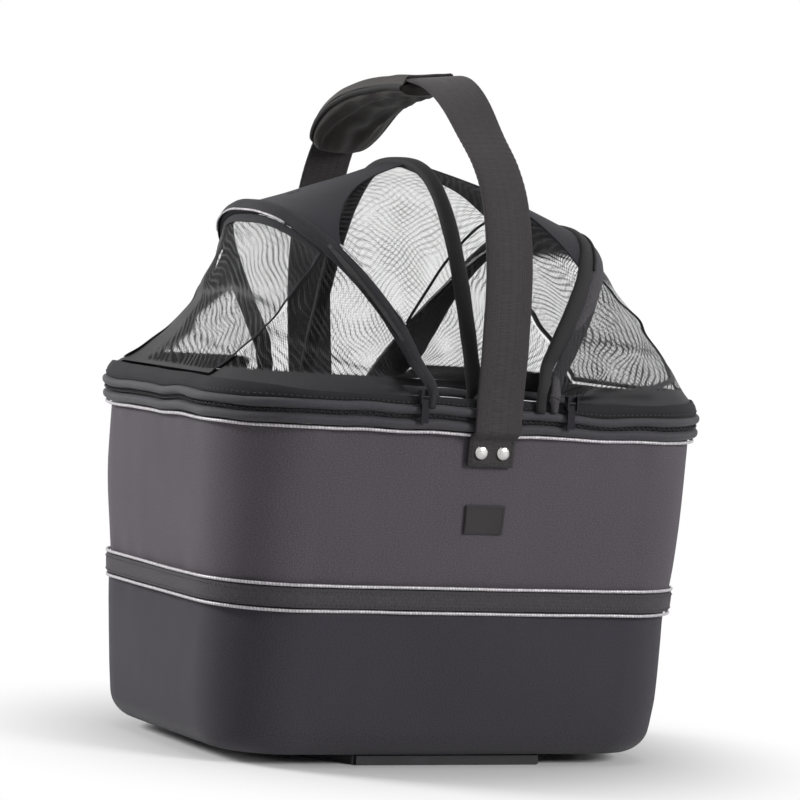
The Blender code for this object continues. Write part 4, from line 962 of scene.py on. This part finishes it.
def gussetFoot(side, end, share):
    straight = skirt["cornerX"] - skirt["startX"]
    travel = share * (straight + skirt["radius"] * math.pi / 2)
    if travel < straight:
        x, y = skirt["startX"] + travel, skirt["cornerY"] + skirt["radius"]
    else:
        angle = (travel - straight) / skirt["radius"]
        x = skirt["cornerX"] + skirt["radius"] * math.sin(angle)
        y = skirt["cornerY"] + skirt["radius"] * math.cos(angle)
    y += skirt["bulge"] * max(0.0, 1 - (x / 0.197) ** 2)
    return Vector((side * x, end * y, hoops["netZ"]))


def skirtFold(point, side, along, up, depth):
    # Slack net in soft level folds: it sags inward at the left and stands out at the right.
    slack = 4 * up * (1 - up)
    sag, power = skirt["sag"][side]
    sag *= math.sin(math.pi * up ** power)
    fold = math.sin(up * 17 + 3 * wobble(along * 3, up * 2, side * 2.0)) * 0.35
    fold += wobble(along * 4, up * 6, side * 7.0)
    inward = Vector((-point.x, -point.y, 0)).normalized()
    return point + inward * (sag + depth * slack * (0.6 + fold))


# How closed each net is: partly its real crease and doubled foot, partly painted shade where the net shows
# dark and solid.
folds = {
    # base, crease height, crease depth, closed above, height of the doubled foot, closed behind
    ("corner", -1, -1): (0.02, 0.38, 0.50, 1.2, 0.006, 1.3),
    ("corner", -1, 1): (0.10, 0.40, 0.30, 1.2, 0.006, 0.70),
    ("corner", 1, -1): (0.38, 0.24, 0.75, 1.2, 0.0065, 1.3),
    ("corner", 1, 1): (0.06, 0.45, 0.20, 1.2, 0.005, 1.3),
    ("door", -1, 0): (0.20, 0.50, 0.60, 0.95, 0.003, 0.70),
    ("door", 1, 0): (0.18, 0.30, 0.40, 0.80, 0.004, 1.3),
}


def foldAndShadeOver(kind, side, end, along, up, height):
    # Closing the holes here stands partly for folds and partly for painted shade.
    base, crease, depth, closed, foot, behind = folds[kind, side, end]
    wander = 0.03 * wobble(along * 4, side * 3.0, end * 2.0)
    line = depth * swell(up, crease + wander, 0.024) * smoothStep(along, -0.1, 0.2)
    ragged = 0.10 * wobble(along * 5, up * 4, 9.0)
    shut = smoothStep(up + ragged, closed, closed + 0.12)
    shut = max(shut, smoothStep(along + ragged, behind, behind + 0.12))
    low = 1 - smoothStep(height, foot * 0.75, foot * 1.15)
    return min(1.0, max(base + line, shut, low))


for side, word in sides:
    for end, endWord in ends:
        def placeCorner(along, up):
            share = along ** 1.5
            hoopShare = skirt["start"] + (skirt["seam"] - skirt["start"]) * share
            low = gussetFoot(side, end, share)
            low.z -= skirt["drop"][0] - skirt["drop"][1] * smoothStep(share, 0.7, 1.0)
            high = hoopAt(side, hoopShare if end < 0 else 2 - hoopShare)
            return skirtFold(low.lerp(high, up), side, along * end, up, 0.0040)

        def foldAndShadeCorner(along, up):
            height = placeCorner(along, up).z - hoops["netZ"] + 0.012 * (1 - smoothStep(along, 0.05, 0.4))
            return foldAndShadeOver("corner", side, end, along, up, height)

        bm = gridOver(placeCorner, (60, 60), (0.17, 0.10), foldAndShadeAt=foldAndShadeCorner)
        addStretched(f"{endWord}{word.title()}CornerNet", bm, skirtCloth,
                     [f"{endWord}_{word}_corner_net"])

    def placeDoor(along, up, lift=0.0):
        hoopShare = skirt["seam"] + 0.008 + (2 - 2 * skirt["seam"] - 0.016) * along
        low = gussetFoot(side, -1, 1.0).lerp(gussetFoot(side, 1, 1.0), 0.005 + 0.99 * along)
        high = hoopAt(side, hoopShare)
        high += (low - high).normalized() * 0.0040
        point = skirtFold(low.lerp(high, up), side, along + 3, up, 0.0036)
        return point + Vector((side * lift, 0, 0.5 * lift))

    def foldAndShadeDoor(along, up):
        return foldAndShadeOver("door", side, 0, along, up, placeDoor(along, up).z - hoops["netZ"])

    bm = gridOver(placeDoor, (70, 60), (0.17, 0.10), foldAndShadeAt=foldAndShadeDoor)
    addStretched(f"{word}DoorNet", bm, skirtCloth, [f"{word}_door"],
                 body=f"{word}_door")

    def placeDoorHem(around, turn):
        # The zip tape that edges the door: up the front seam, over the top and down the back.
        wide, leg = 0.0034, 0.28
        if around < leg:
            along, up = 0.0, 0.02 + 0.96 * around / leg
            wide = 0.0006 + (0.0028 * smoothStep(around, 0.24, leg) if side < 0 else 0.0020)
        elif around < 1 - leg:
            along, up = (around - leg) / (1 - 2 * leg), 0.98
        else:
            along, up = 1.0, 0.02 + 0.96 * (1 - around) / leg
        a, b = rounded(turn, 3.0)
        inward = placeDoor(0.5, 0.5) - placeDoor(along, up)
        inward.normalize()
        return placeDoor(along, up, 0.0006 * b + 0.0004) + inward * (wide - 0.0004 + wide * a)

    bm = gridOver(placeDoorHem, (150, 8), (0.36, 0.014), ends=True)
    addPiece(f"{word}DoorZipTape", bm, tapeCloth, body=f"{word}_door")
print("canopy made")


# Carrying strap: one webbing from the front rivets over the crown to the back rivets.

strap = {
    "span": 0.15886, "hinge": 0.2715, "rise": 0.2365, "half": 0.0190, "thick": 0.0026,
    "route": [(-1.00, 0.00), (-1.015, 0.20), (-1.00, 0.42), (-0.925, 0.60), (-0.80, 0.72), (-0.62, 0.82),
              (-0.45, 0.903), (-0.27, 0.962), (-0.10, 0.986), (0.08, 0.992), (0.26, 0.984), (0.46, 0.965),
              (0.66, 0.918), (0.84, 0.83), (0.97, 0.71), (1.06, 0.55), (1.09, 0.38), (1.06, 0.19),
              (1.00, 0.00)],
    "endZ": 0.2235, "bend": (0.2422, 0.2490), "twist": 0.25, "twistAt": 0.385,
}


def strapSpot(t):
    # A point of the strap's outer face; t runs 0 at the front hinge to 1 at the back.
    knots = [Vector((0, y * strap["span"], strap["hinge"] + z * strap["rise"]))
             for y, z in strap["route"]]
    knots = [2 * knots[0] - knots[1]] + knots + [2 * knots[-1] - knots[-2]]
    spans = len(knots) - 3
    travel = min(max(t, 0.0), 1.0) * spans
    index = min(int(travel), spans - 1)
    t = travel - index
    a, b, c, d = knots[index:index + 4]
    bend, twist = 2 * a - 5 * b + 4 * c - d, 3 * b - a - 3 * c + d
    return 0.5 * (2 * b + (c - a) * t + bend * t ** 2 + twist * t ** 3)


def tabSpot(z):
    # The riveted end: it lies on the wall and steps out over the rim rolls.
    share = (z - tub["footZ"]) / tub["height"]
    flat = 0.130 + 0.018 * share + 0.0006 + strap["thick"]
    out = smoothStep(z, *strap["bend"])
    return Vector((0, -(flat + (strap["span"] - flat) * out), z))


tabLong = strap["hinge"] - 0.002 - strap["endZ"]
frontEnd = [tabSpot(strap["endZ"] + tabLong * step / 26) for step in range(27)]
arch = [strapSpot(step / 260) for step in range(261)]
backEnd = [Vector((0, -spot.y, spot.z)) for spot in reversed(frontEnd)]
route = frontEnd + arch + backEnd
reach = [0.0]
for first, second in zip(route, route[1:]):
    reach.append(reach[-1] + (second - first).length)


def routeStep(travel):
    # The route's step that holds this distance from the front end, and how far along it lies.
    step = min(max(bisect.bisect_right(reach, travel) - 1, 0), len(reach) - 2)
    return step, (travel - reach[step]) / (reach[step + 1] - reach[step])


def strapFrame(travel):
    # The middle of the webbing's outer face, and its outward side.
    step, part = routeStep(min(max(travel, 0.0), reach[-1] - 1e-6))
    along = (route[min(len(route) - 1, step + 3)] - route[max(0, step - 2)]).normalized()
    return route[step].lerp(route[step + 1], part), Vector((1, 0, 0)).cross(along).normalized()


def strapHeight(travel, across):
    # Puckers over the front shoulder and a slightly dished middle.
    pucker = swell(travel, 0.235, 0.045) + 0.6 * swell(travel, 0.60, 0.05)
    pucker *= 0.6 + 0.8 * abs(wobble(0, travel * 22, 7.0))
    wave = math.sin(travel * math.tau / 0.0058 + 3.5 * wobble(across * 1.5, travel * 35, 0))
    soft = 0.0012 * wobble(across * 0.8, travel * 16, 4.0)
    return 0.00034 * pucker * wave * (0.6 + 0.4 * abs(across)) + soft * smoothStep(travel, 0.06, 0.1) \
        * (1 - smoothStep(travel, reach[-1] - 0.1, reach[-1] - 0.06))


def strapShare(travel):
    # Where strapSpot has the point at this distance.
    step, part = routeStep(travel)
    return (step + part - len(frontEnd)) / (len(arch) - 1)


def twisted(t, offset, out):
    # The strap's crosswise way: its right edge lifts just before the grip, which turns its face outward.
    angle = strap["twist"] * swell(t, strap["twistAt"], 0.085)
    return Vector((offset * math.cos(angle), 0, 0)) + out * ((offset + strap["half"]) * math.sin(angle))


def placeStrap(share, turn):
    travel = share * reach[-1]
    here, out = strapFrame(travel)
    t = strapShare(travel)
    a, b = rounded(turn, 5.0)
    lift = strapHeight(travel, a)
    thick = strap["thick"] * (1.0 + 0.15 * (abs(a) > 0.86))
    sway = 0.0006 * wobble(travel * 9, 0, 8.0) * smoothStep(travel, 0.08, 0.15)
    here += Vector((sway, 0, 0)) + out * (lift + (b - 1) * 0.5 * thick)
    return here + twisted(t, a * strap["half"], out)


bm = gridOver(placeStrap, (460, 26), (reach[-1], 0.083), ends=True)
webbing = addPiece("carryingWebbing", bm, webCloth, body=None,
                   replaces=["carrying_strap", "front_strap_end", "back_strap_end"])
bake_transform(webbing)

grip = {"span": (0.455, 0.750), "half": (0.0212, 0.0300), "thick": (0.0110, 0.0175), "slant": 0.008,
        "over": 0.0013, "mouth": 0.0178}


def gripSize(along):
    taper = max(0.0, 1 - max(0.0, 2 * along - 1) ** 6) ** 0.5
    size = 0.34 + 0.66 * taper
    half = (grip["half"][0] + (grip["half"][1] - grip["half"][0]) * smoothStep(along, 0.1, 0.85)) * size
    return max(half, 0.0200) if along < 0.93 else half, \
        (grip["thick"][0] + (grip["thick"][1] - grip["thick"][0]) * along) * size, taper


def gripSpot(along, across):
    # A point of the strap's outer face under the grip; its front end is cut on a slant.
    t = grip["span"][0] + (grip["span"][1] - grip["span"][0]) * along
    t -= grip["slant"] * 0.5 * (across + 1) * (1 - along) ** 2
    here = strapSpot(t)
    return here, Vector((1, 0, 0)).cross(strapSpot(t + 0.004) - strapSpot(t - 0.004)).normalized(), t


def placeGrip(along, turn):
    a, b = rounded(turn, 2.5)
    half, thick, taper = gripSize(along)
    here, out, t = gripSpot(along, a)
    under = smoothStep(-b, -0.1, 0.6)
    lengthwise = a * 9.0 + 2.6 * wobble(along * 2.5, a * 1.2, 0)
    creases = 0.0011 * math.sin(lengthwise) + 0.0009 * math.sin(lengthwise * 2.3 + 1.0)
    creases += 0.0018 * wobble(along * 8, a * 2.0, 6.0)
    deep = thick * (1 - b) / 2 if b < 0.6 else thick * 0.2 * (1 - b) / 0.4
    return (here + twisted(t, a * half, out) - out * (strap["thick"] + 0.0004 + deep)
            + out * (creases * under * min(1.0, 6 * along) * taper))


bm = gridOver(placeGrip, (120, 48), (0.14, 0.11), ends=True)
gripPad = addPiece("gripCushion", bm, gripCloth, body="handle", replaces=["grip_pad"])


def placeGripCover(along, across):
    # The cloth that closes the grip over the top of the webbing.
    a = 2 * across - 1
    half = gripSize(along)[0]
    here, out, t = gripSpot(along, a)
    drop = smoothStep(abs(a), 0.80, 1.0) * (strap["thick"] + 0.0034 + grip["over"])
    wave = 0.0006 * wobble(along * 9, a * 2, 3.0)
    return here + twisted(t, a * (half + 0.0004), out) + out * (grip["over"] + wave - drop)


bm = gridOver(placeGripCover, (110, 26), (0.14, 0.05))
thicken(addPiece("gripCover", bm, gripCloth, body="handle"), 0.0010, 0.0)


def gripOutline(around):
    # Once round the grip's widest line: out along one side, round its end and back.
    leg, far = 0.42, 0.93
    if around < leg:
        return around / leg * far, 1.0
    if around > 1 - leg:
        return (1 - around) / leg * far, -1.0
    turn = (around - leg) / (1 - 2 * leg) * math.pi
    return far + 0.067 * math.sin(turn), math.cos(turn)


def placeGripEdge(around, turn):
    # The bound seam round the grip.
    along, across = gripOutline(around)
    half, thick = gripSize(along)[:2]
    here, out, t = gripSpot(along, across)
    a, b = rounded(turn, 2.0)
    middle = here + twisted(t, across * (half + 0.0006), out)
    middle -= out * (strap["thick"] + 0.0004 + thick * 0.40)
    return middle + Vector((math.copysign(1, across) * a * 0.0020, 0, 0)) + out * (b * 0.0022)


bm = gridOver(placeGripEdge, (220, 10), (0.36, 0.010), ends=True)
addPiece("gripBinding", bm, sleeveCloth, body="handle")


def placeGripMouth(across, turn):
    # The hem where the webbing enters the grip.
    a = 2 * across - 1
    here, out, t = gripSpot(0.0, a)
    forward = (gripSpot(0.03, a)[0] - here).normalized()
    c, d = rounded(turn, 3.0)
    here += forward * (c * 0.0014) + out * (grip["over"] * 0.3 + d * 0.0008)
    return here + twisted(t, a * grip["mouth"], out)


bm = gridOver(placeGripMouth, (40, 10), (0.042, 0.008), ends=True)
addPiece("gripMouth", bm, sleeveCloth, body="handle")
print("strap made")


# Rivets, tag, stitches

rivet = {"radius": 0.0052, "height": 0.0024, "lean": 0.0748}


def spinHead(profile, place):
    bm = bmesh.new()
    verts = [bm.verts.new((x, 0, z)) for x, z in profile]
    edges = [bm.edges.new(pair) for pair in zip(verts, verts[1:])]
    bmesh.ops.spin(bm, geom=verts + edges, cent=(0, 0, 0), axis=(0, 0, 1), angle=math.tau, steps=40,
                   use_merge=True, use_duplicate=False)
    bmesh.ops.remove_doubles(bm, verts=bm.verts, dist=0.00001)
    bmesh.ops.recalc_face_normals(bm, faces=bm.faces)
    bmesh.ops.transform(bm, matrix=place, verts=bm.verts)
    return bm


for end, endWord in ends:
    for side, word in sides:
        node = f"{endWord}_{word}_rivet"
        low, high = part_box(node)
        face = low.y if end < 0 else high.y
        r, h = rivet["radius"], rivet["height"]
        turns = [step * math.pi / 24 for step in range(1, 12)]
        dome = [(0.0, h)] + [(r * math.sin(a), h * (0.25 + 0.75 * math.cos(a))) for a in turns]
        dome += [(r, h * 0.25), (r, -0.0002), (r * 0.86, -0.0005), (0.0, -0.0005)]
        turn = Matrix.Rotation(math.pi / 2, 4, "X") if end < 0 else Matrix.Rotation(-math.pi / 2, 4, "X")
        lean = Matrix.Rotation(end * rivet["lean"], 4, "X")
        middle = Vector(((low.x + high.x) / 2, face - end * h, (low.z + high.z) / 2))
        bm = spinHead(dome, Matrix.Translation(middle) @ lean @ turn)
        addPiece(f"{endWord}{word.title()}RivetHead", bm, brightSteel, crease=50)

tag = {"half": (0.0165, 0.0105), "z": 0.1845, "thick": 0.0008, "pitch": 0.0022, "curl": 0.0005}


def placeTag(across, up):
    x = (2 * across - 1) * tag["half"][0]
    z = tag["z"] + (2 * up - 1) * tag["half"][1]
    around = frontAround(x)
    curl = tag["curl"] * abs(2 * across - 1) ** 3
    return tubPoint(around, z, wallOutset(around, z) + 0.0007 + curl)


bm = gridOver(placeTag, (40, 26), (0.033, 0.021))
thicken(addPiece("plainTag", bm, tagCloth, replaces=["label_tag"]), tag["thick"], 1.0)


def addStitches(name, spots, size=(0.0013, 0.00035, 0.0003)):
    # spots: (middle, way along, outward side)
    bm = bmesh.new()
    for middle, along, out in spots:
        turn = Matrix((along, out.cross(along), out)).transposed().to_4x4()
        place = Matrix.Translation(middle) @ turn @ Matrix.Diagonal(size + (1,))
        bmesh.ops.create_icosphere(bm, subdivisions=1, radius=1.0, matrix=place)
    addPiece(name, bm, darkThread)


def stitchLine(placeAt, outAt, length, pitch=0.0034):
    count = max(2, int(length / pitch))
    spots = []
    for step in range(count):
        share = (step + 0.5) / count
        here, ahead = placeAt(share), placeAt(share + 0.2 / count)
        along = (ahead - here).normalized()
        out = outAt(share)
        out = (out - along * out.dot(along)).normalized()
        spots.append((here + out * 0.0001, along, out))
    return spots


def strapLine(first, last, across):
    def place(share):
        here, out = strapFrame(first + (last - first) * share)
        return here + Vector((across(share) * strap["half"], 0, 0)) + out * 0.0001

    return stitchLine(place, lambda share: strapFrame(first + (last - first) * share)[1],
                      math.hypot(last - first, strap["half"] * abs(across(1) - across(0))))


seam = {"near": 0.0022, "far": 0.0235, "edge": 0.86}
for name, start, stop in (("frontStrapStitches", seam["near"], seam["far"]),
                          ("backStrapStitches", reach[-1] - seam["near"], reach[-1] - seam["far"])):
    spots = []
    for edge in (-seam["edge"], seam["edge"]):
        spots += strapLine(start, stop, lambda share, edge=edge: edge)
    for level in (start, stop):
        spots += strapLine(level, level + 0.00001, lambda share: seam["edge"] * (2 * share - 1))
    addStitches(name, spots)

tagSpots = []
proud = Vector((0, -0.0009, 0))
for side in (-1, 1):
    tagSpots += stitchLine(lambda share: placeTag(0.5 + side * 0.46, 0.06 + 0.88 * share) + proud,
                           lambda share: Vector((0, -1, 0)), 0.0185, tag["pitch"])
    tagSpots += stitchLine(lambda share: placeTag(0.06 + 0.88 * share, 0.5 + side * 0.44) + proud,
                           lambda share: Vector((0, -1, 0)), 0.029, tag["pitch"])
addStitches("tagStitches", tagSpots, size=(0.0008, 0.00022, 0.0002))


def tubOut(around, z):
    here, ahead = tubPoint(around, z), tubPoint((around + 0.002) % 1, z)
    side = (ahead - here).cross(Vector((0, 0, 1)))
    return side.normalized() if side.dot(here) > 0 else -side.normalized()


bandSpots = stitchLine(lambda share: placeBand(share % 1, 0.24) + tubOut(share % 1, 0.27) * 0.0001,
                       lambda share: tubOut(share % 1, 0.27), tub["around"], 0.0036)
addStitches("bandStitches", bandSpots)


def beltFace(around, z):
    return tubPoint(around, z, belt["face"] + belt["slack"] * ripple(around, 0, 0.03, 1.0))


beltSpots = []
for z in belt["stitches"]:
    beltSpots += stitchLine(lambda share: beltFace(share % 1, z), lambda share: tubOut(share % 1, z),
                            tub["around"], belt["pitch"])
addStitches("beltStitches", beltSpots)
print("small parts made")


# Leash loop

low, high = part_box("leash_loop")
loop = {"middle": (low + high) / 2, "half": (high - low) / 2, "thick": 0.0007}


def placeLeash(around, across):
    a, b = rounded(around, 3.2)
    c, s = rounded(across, 4.0)
    half, thick = loop["half"], loop["thick"]
    spot = loop["middle"] + Vector((c * half.x, a * (half.y - thick), b * (half.z - thick)))
    return spot + Vector((0, a, b)).normalized() * (s * thick)


bm = gridOver(placeLeash, (60, 14), (0.06, 0.036))
addPiece("leashWebbing", bm, webCloth, replaces=["leash_loop"])


# Materials of the CAD nodes that stay

finishes = {
    "black_plastic": blackPlastic, "board_plastic": boardPlastic, "zip_plastic": zipPlastic,
    "bright_steel": brightSteel, "spring_steel": springSteel, "fibreglass": rodGlass,
    "button_plastic": buttonPlastic,
}
metalNodes = ("left_door_slider", "right_door_slider", "left_door_pull", "right_door_pull",
              "rim_zip_slider")
for name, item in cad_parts.items():
    for slotHere in item.material_slots:
        plain = slotHere.material.name.split(".")[0] if slotHere.material else ""
        if name in metalNodes:
            slotHere.material = blackZinc
        elif plain in finishes:
            slotHere.material = finishes[plain]


# Floor, light and background

bm = bmesh.new()
bmesh.ops.create_circle(bm, cap_ends=True, segments=96, radius=6.0)
floorMesh = bpy.data.meshes.new("studioFloor")
bm.to_mesh(floorMesh)
bm.free()
floor = bpy.data.objects.new("studioFloor", floorMesh)
scene.collection.objects.link(floor)
paper = {"colour": (0.88, 0.88, 0.88, 1), "clearFrom": 0.14, "clearTo": 0.38}   # metres from the middle
floorMaterial, tree, shader = startMaterial("floorPaper")
feed(tree, shader, {"Base Color": paper["colour"], "Roughness": 0.9, "Specular IOR Level": 0.1})
spot = addNode(tree, "TexCoord").outputs["Object"]
far = steps(tree, addNode(tree, "VectorMath", {0: spot}, operation="LENGTH").outputs["Value"],
            paper["clearFrom"], paper["clearTo"])
rays = addNode(tree, "LightPath").outputs
glow = addNode(tree, "Emission", {"Color": (1, 1, 1, 1), "Strength": 1.0})
fade = addNode(tree, "MixShader", {0: math2(tree, "MULTIPLY", far, rays["Is Camera Ray"]),
                                   1: shader.outputs[0], 2: glow.outputs[0]})
tree.links.new(fade.outputs[0], tree.nodes["Material Output"].inputs["Surface"])
floorMesh.materials.append(floorMaterial)

world = bpy.data.worlds.new("studioSky")
scene.world = world
world.use_nodes = True
tree = world.node_tree
rays = addNode(tree, "LightPath").outputs
shown = math2(tree, "MAXIMUM", rays["Is Camera Ray"], math2(tree, "MAXIMUM", rays["Is Glossy Ray"],
                                                            rays["Is Transmission Ray"]))
background = tree.nodes["Background"]
background.inputs["Color"].default_value = (1, 1, 1, 1)
skyGlow = 0.10
tree.links.new(math2(tree, "MULTIPLY_ADD", shown, 1 - skyGlow, skyGlow), background.inputs["Strength"])

lamps = {
    "sidePanel": {"place": (-2.25, 1.65, 1.45), "size": 0.9, "power": 83},
    "frontPanel": {"place": (1.75, -2.35, 1.45), "size": 1.1, "power": 68},
    "topPanel": {"place": (0.0, -0.2, 2.6), "size": 1.6, "power": 13},
}
for name, look in lamps.items():
    lampData = bpy.data.lights.new(name, "AREA")
    lampData.size = look["size"]
    lampData.energy = look["power"]
    lamp = bpy.data.objects.new(name, lampData)
    lamp.location = look["place"]
    lamp.rotation_euler = (Vector((0, 0, 0.2)) - Vector(look["place"])).to_track_quat("-Z", "Y").to_euler()
    scene.collection.objects.link(lamp)

print("finished")
